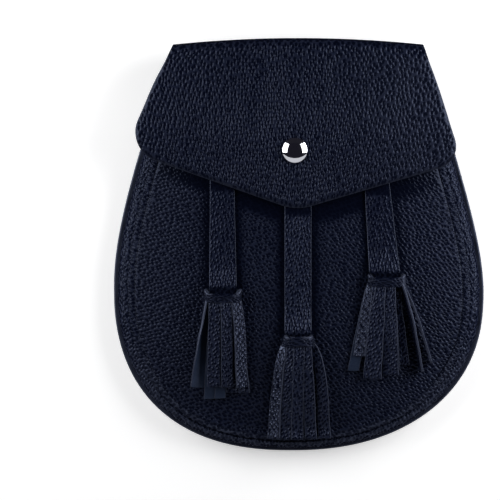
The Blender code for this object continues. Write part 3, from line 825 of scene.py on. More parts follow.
def grain_leather(name, grain):
    """Pebbled leather laid out on the hide's own flat map, pressed, darkened by painted shade, and given pale
    edges and painted light where the piece says so.
    """
    material, tree = blank_material(name)
    flat = add_node(tree, "ShaderNodeUVMap", uv_map=HIDE_MAP).outputs["UV"]
    turn = Euler((0, 0, math.radians(grain.turn)))
    shift = Vector((grain.shift, grain.shift * GRAIN_SHIFT_UP, 0)) * MM
    laid = {"Vector": flat, "Location": shift, "Rotation": turn}
    place = add_node(tree, "ShaderNodeMapping", laid).outputs[0]
    pressed = add_node(tree, "ShaderNodeAttribute", attribute_name=PRESSED_AND_SHADE).outputs["Fac"]
    edged = add_node(tree, "ShaderNodeAttribute", attribute_name=PALE_EDGE_AND_LIGHT).outputs["Fac"]
    cell = {"Cell": grain.cell * MM, "Stretch": grain.stretch, "Domed": grain.domed}
    pebbles = place_group(tree, "pebble_grain", {"Place": place, "Pressed": pressed, **cell})
    hide = {label: dyed(colour, grain.dye) for label, colour in DYES.items()}
    hide.update({label: pebbles[label] for label in ("Height", "Crease", "Tone")})
    hide.update({"Place": place, "Smooth Roughness": grain.roughness, "Crease Roughness": CREASE_ROUGH})
    tone = place_group(tree, "hide_tone", hide)
    tops = maths(tree, "MAXIMUM", pressed, remap(tree, pebbles["Height"], *TOP_LEVELS, PIT_EDGED, 1.0))
    # Painted shade: pressed and shadowed parts are mixed towards the deep colour.
    painted_shade = maths(tree, "MULTIPLY", pressed, PRESSED_SHADE)
    colour = mixed(tree, painted_shade, tone["Color"], dyed(DYES["Deep"], PRESSED_SHADE_COLOUR))
    looks = {
        # The pale edge colour on the pebble tops: real pale edges, and painted highlights and painted light.
        "Base Color": mixed(tree, maths(tree, "MULTIPLY", edged, tops), colour, PALE_EDGE_AND_HIGHLIGHT),
        "Roughness": tone["Roughness"],
        "Specular IOR Level": grain.gloss,
        "Specular Tint": LEATHER_TINT,
    }
    shade(tree, looks, pebbles["Height"], grain.depth)
    return material


def fibre_leather(name, pale, dark, fibre, depth, roughness):
    """A cut edge or the flesh side, without the hide's grain."""
    material, tree = blank_material(name)
    place = add_node(tree, "ShaderNodeTexCoord").outputs["Object"]
    inputs = {"Place": place, "Fibre": fibre * MM, "Pale": pale, "Dark": dark}
    nap = place_group(tree, "leather_fibre", inputs)
    looks = {"Base Color": nap["Color"], "Roughness": roughness, "Specular Tint": LEATHER_TINT}
    shade(tree, looks, nap["Height"], depth)
    return material


def metal(name, colour, low, high, depth):
    """Plated metal, between these two roughnesses."""
    material, tree = blank_material(name)
    place = add_node(tree, "ShaderNodeTexCoord").outputs["Object"]
    inputs = {"Place": place, "Low Roughness": low, "High Roughness": high}
    lines = place_group(tree, "metal_brushing", inputs)
    looks = {"Base Color": colour, "Metallic": 1.0, "Roughness": lines["Roughness"]}
    shade(tree, looks, lines["Height"], depth)
    return material


CUT = fibre_leather("leather_cut_edge", PALE_EDGE_AND_HIGHLIGHT, EDGE_DARK, 0.5, 0.02, 0.42)
BURNISHED = fibre_leather("leather_burnished_edge", BURNISHED_PALE, BURNISHED_DARK, 0.5, 0.02, 0.36)
FLESH = fibre_leather("leather_flesh_side", FLESH_PALE, FLESH_DARK, 0.6, 0.02, 0.5)
FLAP_HIDE = grain_leather("leather_flap", Grain(1.7, 1.6, 0, 0.25, 0.22, 0.2, 1.25, 0.0))
PANEL_HIDE = grain_leather("leather_front", Grain(1.54, 1.42, -72, 0.26, 0.25, 0.15, 1.32, 31.0))
GUSSET_HIDE = grain_leather("leather_gusset", Grain(1.5, 1.3, 10, 0.24, 0.25, 0.21, 1.4, 57.0))
BACK_HIDE = grain_leather("leather_back", Grain(1.8, 1.3, 20, 0.24, 0.3, 0.24, 1.0, 83.0))
STRAP_HIDE = grain_leather("leather_strap", Grain(1.6, 1.48, 18, 0.24, 0.25, 0.27, 1.45, 19.0))
HEAD_HIDE = grain_leather("leather_head", Grain(1.4, 1.4, 70, 0.24, 0.3, 0.2, 1.4, 44.0))
STRIP_HIDE = grain_leather("leather_strips", Grain(1.5, 1.5, 20, 0.26, 0.25, 0.28, 1.5, 71.0))
CURLED_HIDE = grain_leather("leather_curled_strips", Grain(1.75, 1.1, 0, 0.36, 0.24, 0.62, 1.4, 12.0, 1.0))
POLISHED = metal("polished_nickel", (0.8, 0.81, 0.88, 1.0), 0.04, 0.09, 0.0008)
BRUSHED = metal("brushed_steel", (0.52, 0.52, 0.54, 1.0), 0.25, 0.42, 0.004)


# ---------------------------------------------------------------- how leather pieces are made

# Material slots: straps keep their burnished edge, and fringes their curled strips, in the fourth.
TOP_SLOT, UNDER_SLOT, CUT_SLOT, CURLED_SLOT, BURNISHED_SLOT = 0, 1, 2, 3, 3

# A point in millimetres, its place on the hide's flat map, how much it is pressed and darkened by painted
# shade, how much pale edge colour and painted light it takes, and the slot of the face after it.
Spot = namedtuple("Spot", "point place pressed edged slot", defaults=(0.0, 0.0, TOP_SLOT))

# A section across a strip, how it stands, and its place along the flat map.
Station = namedtuple("Station", "centre across through section run")

# A face's corners between two rows, as (row, spot) steps.
SHEET_CORNERS = ((0, 0), (1, 0), (1, 1), (0, 1))
TUBE_CORNERS = ((0, 0), (0, 1), (1, 1), (1, 0))

# A strip's slots for its top, underside and cut edge.
PLAIN_SLOTS = (TOP_SLOT, UNDER_SLOT, CUT_SLOT)
TURNED_SLOTS = (UNDER_SLOT, TOP_SLOT, CUT_SLOT)
CURLED_SLOTS = (CURLED_SLOT, UNDER_SLOT, CUT_SLOT)


def object_from(name, shape, materials):
    """An object from a bmesh, with its materials, smooth all over."""
    data = bpy.data.meshes.new(name)
    shape.to_mesh(data)
    shape.free()
    for material in materials:
        data.materials.append(material)
    data.shade_smooth()
    made = bpy.data.objects.new(name, data)
    bpy.context.scene.collection.objects.link(made)
    return made


def apply_modifiers(made):
    """Applies every modifier of a piece, from the first to the last."""
    bpy.ops.object.select_all(action="DESELECT")
    made.select_set(True)
    bpy.context.view_layer.objects.active = made
    for modifier in list(made.modifiers):
        bpy.ops.object.modifier_apply(modifier=modifier.name)


def finish_piece(made, node):
    """Hides the node's CAD part and puts the piece on the body."""
    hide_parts(node)
    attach(made, "root")


def new_shape():
    """An empty bmesh with the hide's flat map and the layers that say where it is pressed and darkened by
    painted shade, and where it takes pale edges and painted light.
    """
    shape = bmesh.new()
    shape.loops.layers.uv.new(HIDE_MAP)
    for layer in (PRESSED_AND_SHADE, PALE_EDGE_AND_LIGHT):
        shape.verts.layers.float.new(layer)
    return shape


def add_surface(shape, rows, corners, end_slot=None):
    """Adds a surface through rows of spots; with an end_slot a tube, whose rows end where they start."""
    flat = shape.loops.layers.uv[HIDE_MAP]
    pressed, edged = (shape.verts.layers.float[layer] for layer in (PRESSED_AND_SHADE, PALE_EDGE_AND_LIGHT))
    grid = []
    for row in rows:
        verts = []
        for spot in row if end_slot is None else row[:-1]:
            vert = shape.verts.new(Vector(spot.point) * MM)
            vert[pressed], vert[edged] = spot.pressed, spot.edged
            verts.append(vert)
        grid.append(verts)
    for i in range(len(rows) - 1):
        for j in range(len(rows[i]) - 1):
            around = [(i + down, j + on) for down, on in corners]
            face = shape.faces.new([grid[a][b % len(grid[a])] for a, b in around])
            face.material_index = rows[i][j].slot
            for loop, (a, b) in zip(face.loops, around):
                loop[flat].uv = Vector(rows[a][b].place) * MM
    if end_slot is not None:
        for end in (grid[0][::-1], grid[-1]):
            shape.faces.new(end).material_index = end_slot


def round_edges(made, name, width, segments, degrees):
    """Gives a piece a bevel on the edges that turn by more than this, and returns it."""
    bevel = made.modifiers.new(name, "BEVEL")
    bevel.width = width * MM
    bevel.segments = segments
    bevel.limit_method = "ANGLE"
    bevel.angle_limit = math.radians(degrees)
    return bevel


def leather_sheet(node, rows, thickness, rim, hide, under=None, cut=None, flip=False, merge=False):
    """Puts a leather wall in a node's place: its face runs through the rows, and its cut edge is rounded."""
    shape = new_shape()
    add_surface(shape, rows, SHEET_CORNERS[::-1] if flip else SHEET_CORNERS)
    if merge:
        bmesh.ops.remove_doubles(shape, verts=shape.verts, dist=MERGE_DISTANCE)
    made = object_from(node + "_leather", shape, [hide, under or FLESH, cut or CUT])
    wall = made.modifiers.new("wall", "SOLIDIFY")
    wall.thickness = thickness * MM
    wall.offset = -1
    wall.use_even_offset = True
    wall.material_offset = UNDER_SLOT
    wall.material_offset_rim = CUT_SLOT
    round_edges(made, "rim", rim, 4, 55).material = CUT_SLOT
    apply_modifiers(made)
    finish_piece(made, node)


def strip_section(half, thick, edge, crown, pieces):
    """Points (across, through, slot of the face after it) round a strip's section, from the top's left."""
    level, flat = thick / 2, half - edge
    inner, middle = flat - edge, level - edge
    top = [-flat] + [between(-inner, inner, i / pieces) for i in range(pieces + 1)]
    points = [(a, level, TOP_SLOT) for a in top]
    for side, height, start in ((1, middle, 90), (1, -middle, 0), (-1, -middle, -90), (-1, middle, -180)):
        if start == -90:
            points += [(between(flat, -flat, i / pieces), -level, UNDER_SLOT) for i in range(pieces)]
        for i in range(3):
            angle = math.radians(start - 30 * i)
            points.append((side * flat + edge * math.cos(angle), height + edge * math.sin(angle), CUT_SLOT))
    return [(a, b + crown * (1 - (a / half) ** 2), slot) for a, b, slot in points]


def add_strip(shape, stations, shift, slots=PLAIN_SLOTS, strap_shade=0.0, shaded_by_flap=False):
    """Adds a closed strip; shift moves its flat map, and slots are for its top, underside and cut edge."""
    rings = []
    for centre, across, through, section, run in stations:
        # Painted shadow on the strap near the flap's free edge.
        shadow = SHADOW_STRENGTH * flap_shadow(centre.x, centre.y, STRAP_SHADOW_SHARE) if shaded_by_flap else 0.0
        ring = []
        for a, b, slot in section:
            place = (a + shift, run + shift * MAP_SHIFT_UP)
            pressed = 1.0 if slot == CUT_SLOT else max(shadow, strap_shade)
            ring.append(Spot(centre + across * a + through * b, place, pressed, 0.0, slots[slot]))
        rings.append(ring + ring[:1])
    add_surface(shape, rings, TUBE_CORNERS, CUT_SLOT)


# ---------------------------------------------------------------- the pouch


def back_panel():
    """The flat sheet that everything is sewn to, with the whole outline, a rounded edge and a pale margin."""
    points, _ = outline(BACK_TOP_Y)
    rows = []
    for point in points:
        inner = spine_of(point, BACK_TOP_Y)
        pale = BACK_PALE + ripple(BACK_PALE_WAVE, point.x, point.y)
        # Painted shade: the pale margin is drawn darker towards the right.
        pale -= BACK_RIGHT_SHADE * smoothstep(point.x, 0, BACK_RIGHT_SHADE_X)
        row = []
        for share in BACK_SHARES:
            p = point.lerp(inner, share)
            margin = 1.0 if share < BACK_MARGIN else 0.0
            row.append(Spot((p.x, p.y, rise(p.y) + BACK_THICK), p, margin, pale * margin))
        rows.append(row)
    leather_sheet("back_panel", rows, BACK_THICK, BACK_RIM, BACK_HIDE, BACK_HIDE, merge=True)


def bottom_share(y):
    """0 along the sides and 1 at the very bottom, where the border is narrower and its seam deeper."""
    return smoothstep(y, BORDER_TIGHT_Y, BOTTOM_Y)


def border_share(y):
    """How much of its width the border keeps at y."""
    return 1 - BORDER_TIGHT * bottom_share(y)


def border_rows(top_y, curve, first_place):
    """Rows of spots round the body along a section's curve; the flat map unrolls the curve outwards."""
    runs = [0.0]
    for before, point in zip(curve, curve[1:]):
        runs.append(runs[-1] + (point - before).length)
    rows = []
    for point, normal in zip(*outline(top_y)):
        keep = border_share(point.y)
        low = smoothstep(point.y, *BEAD_YS)
        pleat_highlight = low * max(0.0, ripple(PLEAT_HIGHLIGHT, point.x, point.y))
        row = []
        for part, run in zip(curve, runs):
            p = point + normal * part.x * keep
            sink = SEAM_DEPTH * bottom_share(point.y) * smoothstep(abs(part.x - SEAM_INSET), SEAM_WIDTH, 0)
            bead = max(0.0, ripple(BEAD, p.x, p.y) + BEAD_MORE) * between(BEAD_AT_SIDES, 1, low)
            near = max(smoothstep(abs(part.x - inset), BEAD_WIDTH, 0) for inset in BEAD_INSETS)
            # Painted highlights: beads on the ridges, pleat strokes and a lighter band towards the bottom.
            painted_light = BEAD_HIGHLIGHT * bead * near + BOTTOM_LIGHT * low + pleat_highlight * smoothstep(part.x, *PLEAT_HIGHLIGHT_INSETS)
            place = point + normal * (first_place - (runs[-1] - run)) * keep
            z = rise(p.y) + BACK_THICK + part.y - sink
            row.append(Spot((p.x, p.y, z), place, 0.0, min(PAINTED_LIGHT_MOST, painted_light)))
        rows.append(row)
    return rows


def gusset():
    """The strip round the sides and bottom, which bulges out, puckers and rolls in to the front panel."""
    curve = smooth_section(GUSSET_INSETS, GUSSET_HEIGHTS, GUSSET_STEPS)
    rows = border_rows(GUSSET_TOP_Y, curve, GUSSET_INSETS[-1])
    for row, normal in zip(rows, outline(GUSSET_TOP_Y)[1]):
        for j, spot in enumerate(row):
            x, y, z = spot.point
            push = ripple(PUCKER, x, y) * math.sin(math.pi * j / (len(row) - 1))
            row[j] = spot._replace(point=(x - normal.x * push, y - normal.y * push, z + push))
    leather_sheet("gusset", rows, GUSSET_THICK, SEAM_EDGE, GUSSET_HIDE, cut=GUSSET_HIDE)


def fanned(x, y):
    """The flap's flat map: the grain fans out upwards from a point far below, as the hide was stretched."""
    across, up = x - FAN_X, y - FAN_Y
    reach = math.hypot(across, up)
    return Vector((FAN_REACH * math.atan2(across, up), reach))


def front_panel():
    """The front: a turned-down edge, a margin, a pressed crease and the dome; its top is the mouth."""
    curve = smooth_section(PANEL_INSETS, PANEL_HEIGHTS, PANEL_STEPS)
    rows = border_rows(MOUTH_Y, curve, PANEL_INSETS[-1])
    points, normals = outline(MOUTH_Y)
    for row, point, normal in zip(rows, points, normals):
        inner = spine_of(point, MOUTH_Y)
        keep = border_share(point.y)
        crease = point + normal * CREASE_INSET * keep
        places = [point + normal * inset * keep for inset in CREASE_INSETS]
        start = places[-1]
        places += [start.lerp(inner, i / DOME_STEPS) for i in range(1, DOME_STEPS + 1)]
        for i, p in enumerate(places):
            outside = i < CREASE_INSETS.index(CREASE_INSET)
            away = (p - crease).length
            groove = math.exp(-((away / CREASE_WIDTH) ** 2))
            groove_depth = groove * (1 + ripple(CREASE_PUCKER, crease.x, crease.y))
            level = CREASE_Z + rise(p.y) + MARGIN_RAISED if outside else dome(p.x, p.y)
            soft = ripple(PANEL_SWELL, p.x, p.y) * smoothstep(away, 0, PANEL_SWELL_FADE)
            z = level + soft - CREASE_DEPTH * groove_depth
            # Pressed in the crease, and painted shadow under the flap and beside the straps.
            pressed = max(CREASE_PRESSED * groove, SHADOW_STRENGTH * painted_shadow(p.x, p.y))
            # Painted light: the front's left part is drawn lighter.
            painted_light = PANEL_LEFT_LIGHT * smoothstep(p.x, *PANEL_LEFT_LIGHT_XS) * (1 - pressed)
            # Painted highlight along the crease.
            row.append(Spot((p.x, p.y, z), p, pressed, max(painted_light, CREASE_HIGHLIGHT * groove_depth)))
    leather_sheet("front_panel", rows, PANEL_THICK, SEAM_EDGE, PANEL_HIDE, cut=PANEL_HIDE, merge=True)


def flap_column(front, share):
    """The outer face down one line of the flap, at a share from -1 to 1 across it: tail, fold and front."""
    crest, top = fold_place(share)
    tail_x = FLAP_TAIL_HALF_WIDTH * share
    tail_z = rise(top.y) + BACK_THICK + GAP
    front_z = flap_height(top.x, top.y)
    column = [Vector((tail_x, y, rise(y) + BACK_THICK + GAP)) for y in FLAP_TAIL_ROWS_Y]
    for i in range(FOLD_STEPS + 1):
        angle = math.pi * i / FOLD_STEPS
        up, over = math.sin(angle), -math.cos(angle)
        if 2 * i < FOLD_STEPS:
            x = between(tail_x, crest.x, 2 * i / FOLD_STEPS)
        else:
            up = max(0.0, up) ** (2 / FOLD_POWER)
            over = max(0.0, over) ** (2 / FOLD_POWER)
            x = between(crest.x, top.x, 1 - up)
        column.append(Vector((x, top.y + FOLD_DEPTH * up, between(tail_z, front_z, (1 + over) / 2))))
    return column + [Vector((p.x, p.y, flap_height(p.x, p.y))) for p in front[1:]]


def edge_distance(x, y, edge):
    """How far x, y lies from a line of points."""
    return min((x - p.x) ** 2 + (y - p.y) ** 2 for p in edge) ** 0.5


def flap():
    """One sheet: a tail inside against the back panel, the fold over the top, and the pointed front."""
    front = FLAP_FRONT
    columns = [flap_column(line, between(-1, 1, i / FLAP_EDGE_STEPS)) for i, line in enumerate(front)]
    fold_end = len(FLAP_TAIL_ROWS_Y) + FOLD_STEPS
    rim = front[0] + [line[-1] for line in front] + front[-1]
    rows = []
    for column in columns:
        row = []
        for j, (x, y, z) in enumerate(column):
            place, pressed, edged = fanned(x, y), 0.0, 0.0
            if j < fold_end:
                rest = column[j : fold_end + 1]
                back = sum((b - a).length for a, b in zip(rest, rest[1:]))
                place = fanned(column[fold_end].x, column[fold_end].y + back)
            else:
                away = edge_distance(x, y, rim)
                roll = max(0.0, 1 - away / FLAP_ROLL_WIDTH)
                stud = math.hypot(x - STUD_X, y - STUD_Y)
                still = smoothstep(away, 0, FLAP_SWELL_FADE) * smoothstep(stud, 0, FLAP_SWELL_FADE)
                z += ripple(FLAP_SWELL, x, y) * still - FLAP_ROLL * roll**2
                z -= DIMPLE_DEPTH * math.exp(-((stud / DIMPLE_WIDTH) ** 2))
                edged = min(1.0, max(0.0, FLAP_EDGED_WIDTH - away)) * FLAP_EDGED
                pressed = min(1.0, edged * FLAP_RIM_PRESSED)
                # Painted light: the flap's right part is drawn lighter.
                edged = max(edged, FLAP_RIGHT_LIGHT * smoothstep(x, *FLAP_RIGHT_LIGHT_XS))
            row.append(Spot((x, y, z), place, pressed, edged))
        rows.append(row)
    leather_sheet("flap", rows, FLAP_THICK, FLAP_RIM, FLAP_HIDE, cut=BURNISHED, flip=True)


def snap_cap():
    """The press stud's polished cap: a low dome with a thin flange, drawn up ring by ring from a disc."""
    base = flap_height(STUD_X, STUD_Y) + GAP - DIMPLE_DEPTH
    rim_angle = math.asin(CAP_RADIUS / CAP_BALL_RADIUS)
    dome_height = CAP_BALL_RADIUS * (1 - math.cos(rim_angle))
    edge = CAP_HEIGHT + DIMPLE_DEPTH - dome_height
    bpy.ops.object.select_all(action="DESELECT")
    bpy.ops.mesh.primitive_cylinder_add(
        vertices=CAP_SIDES,
        radius=CAP_RADIUS * MM,
        depth=edge * MM,
        location=(STUD_X * MM, STUD_Y * MM, (base + edge / 2) * MM),
    )
    made = bpy.context.active_object
    made.name = "snap_cap_polished"
    bpy.ops.object.transform_apply(location=True, rotation=True, scale=True)
    bpy.ops.object.mode_set(mode="EDIT")
    bpy.ops.mesh.select_all(action="DESELECT")
    bpy.ops.object.mode_set(mode="OBJECT")
    for face in made.data.polygons:
        face.select = face.normal.z > FACING_UP
    bpy.ops.object.mode_set(mode="EDIT")
    middle = (STUD_X * MM, STUD_Y * MM, 0)
    before_radius, before_z = CAP_RADIUS, 0.0
    for i in range(1, CAP_RINGS):
        angle = rim_angle * (1 - i / CAP_RINGS)
        radius = CAP_BALL_RADIUS * math.sin(angle)
        z = CAP_BALL_RADIUS * math.cos(angle) - CAP_BALL_RADIUS + dome_height
        bpy.ops.mesh.extrude_region_move(TRANSFORM_OT_translate={"value": (0, 0, (z - before_z) * MM)})
        share = radius / before_radius
        bpy.ops.transform.resize(value=(share, share, 1), center_override=middle)
        before_radius, before_z = radius, z
    bpy.ops.mesh.poke(offset=(dome_height - before_z) * MM)
    bpy.ops.object.mode_set(mode="OBJECT")
    round_edges(made, "rolled_edge", CAP_ROLL, 3, 35)
    apply_modifiers(made)
    made.data.shade_smooth()
    made.data.materials.clear()
    made.data.materials.append(POLISHED)
    finish_piece(made, "snap_cap")


# ---------------------------------------------------------------- the tassels


def tassel_strap(tassel):
    """The strap down the front panel, whose narrower tongue bends down into the head's recess."""
    strap, head = tassel.strap, tassel.head
    shoulder_y = head.top_y + 3 * GAP
    end_y = head.top_y - HEAD_RECESS + GAP
    tongue_half = head.width / 2 - HEAD_WALL - 3 * GAP
    places = [between(strap.top_y, shoulder_y, i / STRAP_STEPS) for i in range(STRAP_STEPS + 1)]
    places += [between(shoulder_y, end_y, i / TONGUE_STEPS) for i in range(1, TONGUE_STEPS + 1)]
    stations = []
    for y in places:
        share = (strap.top_y - y) / (strap.top_y - end_y)
        x = between(strap.top_x, strap.end_x, share)
        half = between(strap.top_width, strap.end_width, share) / 2 + ripple(STRAP_WAVE, x, y)
        inside = smoothstep(y, shoulder_y, shoulder_y - TONGUE_TAPER)
        x = between(x, head.x, inside)
        half = between(half, min(half, tongue_half), inside)
        lift = (HEAD_THICK - STRAP_THICK) / 2 * smoothstep(y, end_y + STRAP_RISE_LENGTH, end_y)
        drop = TONGUE_DROP * smoothstep(y - TONGUE_BENT_EARLY, shoulder_y, end_y)
        z = dome(x, y) + LYING_GAP + STRAP_THICK / 2 + lift - drop
        section = strip_section(half, STRAP_THICK, STRAP_EDGE, STRAP_CROWN, STRAP_PIECES)
        stations.append(Station(Vector((x, y, z)), Vector((1, 0, 0)), Vector((0, 0, 1)), section, y))
    shape = new_shape()
    # Painted shade: the two side straps are drawn darker and smoother.
    strap_shade = SIDE_STRAP_SHADE if tassel.side != "centre" else 0.0
    add_strip(shape, stations, head.x, strap_shade=strap_shade, shaded_by_flap=True)
    shape.normal_update()
    for face in shape.faces:
        if face.material_index == CUT_SLOT and face.normal.x < -SIDE_FACING:
            face.material_index = TOP_SLOT
        elif face.material_index == CUT_SLOT and face.normal.x > SIDE_FACING and tassel.side != "right":
            face.material_index = BURNISHED_SLOT
    made = object_from(f"strap_{tassel.side}_leather", shape, [STRAP_HIDE, FLESH, CUT, BURNISHED])
    finish_piece(made, "tassel_strap_" + tassel.side)


def head_point(head, y, angle, shrink, dip):
    """A point of the head's ring at y, drawn in by shrink; dip lowers its front towards the fringe."""
    base = dome(head.x, (head.top_y + head.bottom_y) / 2) + LYING_GAP
    down = (head.top_y - y) / (head.top_y - head.bottom_y)
    half_x = head.width / 2 + head.flare * (down - 0.5) - shrink
    half_z = HEAD_THICK / 2 - shrink - HEAD_TAPER * smoothstep(down)
    c, s = math.cos(angle), math.sin(angle)
    x = math.copysign(abs(c) ** (2 / HEAD_POWER), c)
    z = math.copysign(abs(s) ** (2 / HEAD_POWER), s)
    front = smoothstep(z, 0, HEAD_FRONT_Z) * (1 - abs(x) ** HEAD_FRONT_POWER)
    y -= dip * front
    run = head.x + x * HEAD_RUN
    y += ripple(HEAD_RAGGED, run, z) * smoothstep(down, HEAD_RAGGED_DOWN, 0) * front
    crumple = ripple(HEAD_CRUMPLE, run, y * 1.4 + angle * 2)
    middle_z = base + HEAD_THICK / 2 - HEAD_TAPER * smoothstep(down)
    return Vector((head.x + x * (half_x + crumple), y, middle_z + z * (half_z + crumple)))


def head_rings(head):
    """The rings up a head: its rounded bottom, its sides, its rolled rim and the floor of its recess."""
    rings = []
    for degrees in (0, 30, 60, 90):
        angle = math.radians(degrees)
        y = head.bottom_y + HEAD_SOFT * (1 - math.cos(angle))
        rings.append(Ring(y, HEAD_SOFT * (1 - math.sin(angle)), 0.0, TOP_SLOT))
    for i in range(1, HEAD_BODY_RINGS):
        share = i / HEAD_BODY_RINGS
        y = between(head.bottom_y + HEAD_SOFT, head.top_y - HEAD_WALL / 2, share)
        rings.append(Ring(y, 0.0, head.dip * share, TOP_SLOT))
    for degrees in range(0, 181, 30):
        angle = math.radians(degrees)
        y = head.top_y - HEAD_WALL / 2 * (1 - math.sin(angle))
        rings.append(Ring(y, HEAD_WALL / 2 * (1 - math.cos(angle)), head.dip, CUT_SLOT))
    return rings + [Ring(head.top_y - HEAD_RECESS, HEAD_WALL, 0.0, UNDER_SLOT)]


def head_slot(head, slot, k, i):
    """The slot of a head's face: only part of its rim is pale and torn, and one head has a pale end."""
    out = math.sin(2 * math.pi * (i + 0.5) / HEAD_SIDES)
    if slot == CUT_SLOT and abs(out) + ripple(HEAD_TORN, i, k, head.x) < head.pale_from:
        slot = TOP_SLOT
    if head.pale_end and slot == TOP_SLOT and out > HEAD_PALE_END:
        slot = CUT_SLOT
    return slot


def tassel_head(tassel):
    """The rolled leather head: a flattened roll with a collar at its top that the strap goes into."""
    head = tassel.head
    rings = head_rings(head)
    girth = 2 * (head.width + HEAD_THICK) * HEAD_GIRTH_SHARE
    rows = []
    for k, ring in enumerate(rings):
        above = rings[min(k + 1, len(rings) - 1)].slot
        pressed = HEAD_RIM_PRESSED if ring.slot == CUT_SLOT else 0.0
        row = []
        for i in range(HEAD_SIDES + 1):
            angle = 2 * math.pi * i / HEAD_SIDES - math.pi / 2
            # Painted highlights on the head's crinkled corners.
            corner = smoothstep(abs(math.cos(angle)), *HEAD_CORNER_HIGHLIGHT_COSINES)
            corner *= smoothstep(ring.y - head.bottom_y, *HEAD_CORNER_HIGHLIGHT_HEIGHTS)
            painted_light = min(1.0, corner * max(0.0, ripple(HEAD_CORNER_HIGHLIGHT, i, k * 2, head.x) + HEAD_CORNER_HIGHLIGHT_MORE))
            point = head_point(head, ring.y, angle, ring.inset, ring.dip)
            place = (girth * i / HEAD_SIDES, ring.y)
            row.append(Spot(point, place, pressed, painted_light, head_slot(head, above, k, i)))
        rows.append(row)
    shape = new_shape()
    add_surface(shape, rows, TUBE_CORNERS, UNDER_SLOT)
    bmesh.ops.recalc_face_normals(shape, faces=shape.faces)
    made = object_from(f"head_{tassel.side}_leather", shape, [HEAD_HIDE, FLESH, CUT])
    finish_piece(made, "tassel_head_" + tassel.side)


def strip_stations(head, strip, seed):
    """The sections down a strip, which fans out, turns over and settles on the front panel."""
    stations = []
    start_y = head.bottom_y + STRIP_TUCK
    end_y = head.bottom_y - 2 * GAP - strip.length
    for share in [i / STRIP_STEPS for i in range(STRIP_STEPS)] + [1 - STRIP_EDGE / strip.length, 1.0]:
        y = between(start_y, end_y, share)
        wander = ripple(STRIP_WANDER, seed * 7, y) * smoothstep(share * 3)
        bow = strip.bow * math.sin(math.pi * share**STRIP_BOW_POWER)
        x = head.x + between(strip.root_x, strip.tip_x, share) + bow + wander
        half = between(strip.root_width, strip.tip_width, share) / 2
        sway = ripple(STRIP_SWAY, seed * 5, y) * smoothstep(share * 2)
        turn = math.radians(between(strip.root_turn, strip.tip_turn, smoothstep(share)) + sway)
        needed = half * abs(math.sin(turn)) + STRIP_THICK / 2 * math.cos(turn) + LYING_GAP
        lift = between(strip.root_lift, strip.tip_lift, smoothstep(share))
        lift += ripple(STRIP_LIFTED, seed * 3, y) * smoothstep(share * 2)
        centre = Vector((x, y, dome(x, y) + max(lift, needed)))
        across = Vector((math.cos(turn), 0, math.sin(turn)))
        through = Vector((-math.sin(turn), 0, math.cos(turn)))
        shrink = STRIP_END_ROUND if share == 1.0 else 0.0
        cup = ripple(STRIP_CUP, seed * 9, y)
        if strip.turned_over:
            cup -= STRIP_CUPPED * abs(math.sin(turn))
        edge = STRIP_EDGE - shrink / 2
        section = strip_section(half - shrink, STRIP_THICK - shrink, edge, cup, STRIP_PIECES)
        across.y = ripple(STRIP_SLANT, seed * 4, head.x) * smoothstep(share, 0.75)
        stations.append(Station(centre, across, through, section, y))
    return stations


def tassel_fringe(tassel):
    """The cut strips of one tassel, which come out of the head together and fan out."""
    shape = new_shape()
    least, most = CURLED_TURNS
    for i, strip in enumerate(tassel.strips):
        slots = PLAIN_SLOTS
        if strip.turned_over:
            slots = TURNED_SLOTS
        elif strip.root_lift > CURLED_LIFT and least < abs(strip.root_turn) < most:
            slots = CURLED_SLOTS
        shift = STRIP_MAP_SHIFT * i + tassel.head.x
        add_strip(shape, strip_stations(tassel.head, strip, i + 1), shift, slots)
    made = object_from(f"fringe_{tassel.side}_leather", shape, [STRIP_HIDE, FLESH, CUT, CURLED_HIDE])
    finish_piece(made, "tassel_fringe_" + tassel.side)


# ---------------------------------------------------------------- floor, light and camera


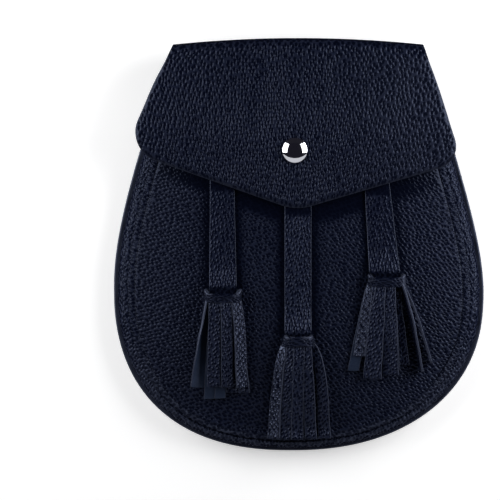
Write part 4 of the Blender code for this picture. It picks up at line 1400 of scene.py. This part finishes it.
def floor():
    """A plain near-white floor under the pouch."""
    bpy.ops.object.select_all(action="DESELECT")
    bpy.ops.mesh.primitive_plane_add(size=FLOOR_SIZE * MM, location=(0, 0, -FLOOR_DROP * MM))
    made = bpy.context.active_object
    made.name = "floor"
    material, tree = blank_material("floor_paper")
    place = add_node(tree, "ShaderNodeTexCoord").outputs["Object"]
    grey = remap(tree, cloud(tree, place, FLOOR_CLOUD), *NOISE_RANGE, *FLOOR_GREYS)
    colour = add_node(tree, "ShaderNodeCombineColor", {0: grey, 1: grey, 2: grey}).outputs[0]
    shade(tree, {"Base Color": colour, **FLOOR_PAPER})
    made.data.materials.append(material)
    made.visible_glossy = False


def soft_box(box):
    """A rectangular area light of this brightness."""
    light = bpy.data.lights.new(box.name, "AREA")
    light.shape = "RECTANGLE"
    light.size = box.width * MM
    light.size_y = box.height * MM
    light.energy = box.radiance * math.pi * box.width * box.height * MM * MM
    made = bpy.data.objects.new(box.name, light)
    made.location = Vector(box.place) * MM
    made.rotation_euler = (Vector(box.place) - Vector(box.aim)).to_track_quat("Z", "Y").to_euler()
    bpy.context.scene.collection.objects.link(made)


def studio():
    """The soft boxes and a dim surround."""
    for box in SOFT_BOXES:
        soft_box(box)
    world = bpy.data.worlds.new("surround")
    bpy.context.scene.world = world
    world.use_nodes = True
    surround = {"Color": SURROUND_COLOR, "Strength": SURROUND_STRENGTH}
    fill(world.node_tree, world.node_tree.nodes["Background"], surround)


def camera():
    """A long lens straight above, framed so that the pouch sits right of the middle."""
    data = bpy.data.cameras.new("view")
    data.lens = LENS
    data.sensor_width = SENSOR
    data.clip_end = CLIP_END
    made = bpy.data.objects.new("view", data)
    distance = VIEW_WIDTH * LENS / SENSOR
    made.location = Vector((VIEW_X, VIEW_Y, MIDDLE_Z + distance)) * MM
    bpy.context.scene.collection.objects.link(made)
    bpy.context.scene.camera = made


def carried_over_metal():
    """The hangers and the stud's post keep their shape and get brushed steel."""
    for name in ("hanger_left", "hanger_right", "snap_post"):
        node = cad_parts[name]
        node.data.materials.clear()
        node.data.materials.append(BRUSHED)


back_panel()
gusset()
front_panel()
flap()
snap_cap()
for each in TASSELS:
    tassel_strap(each)
    tassel_head(each)
    tassel_fringe(each)
carried_over_metal()
floor()
studio()
camera()
bpy.context.scene.view_settings.view_transform = "Standard"
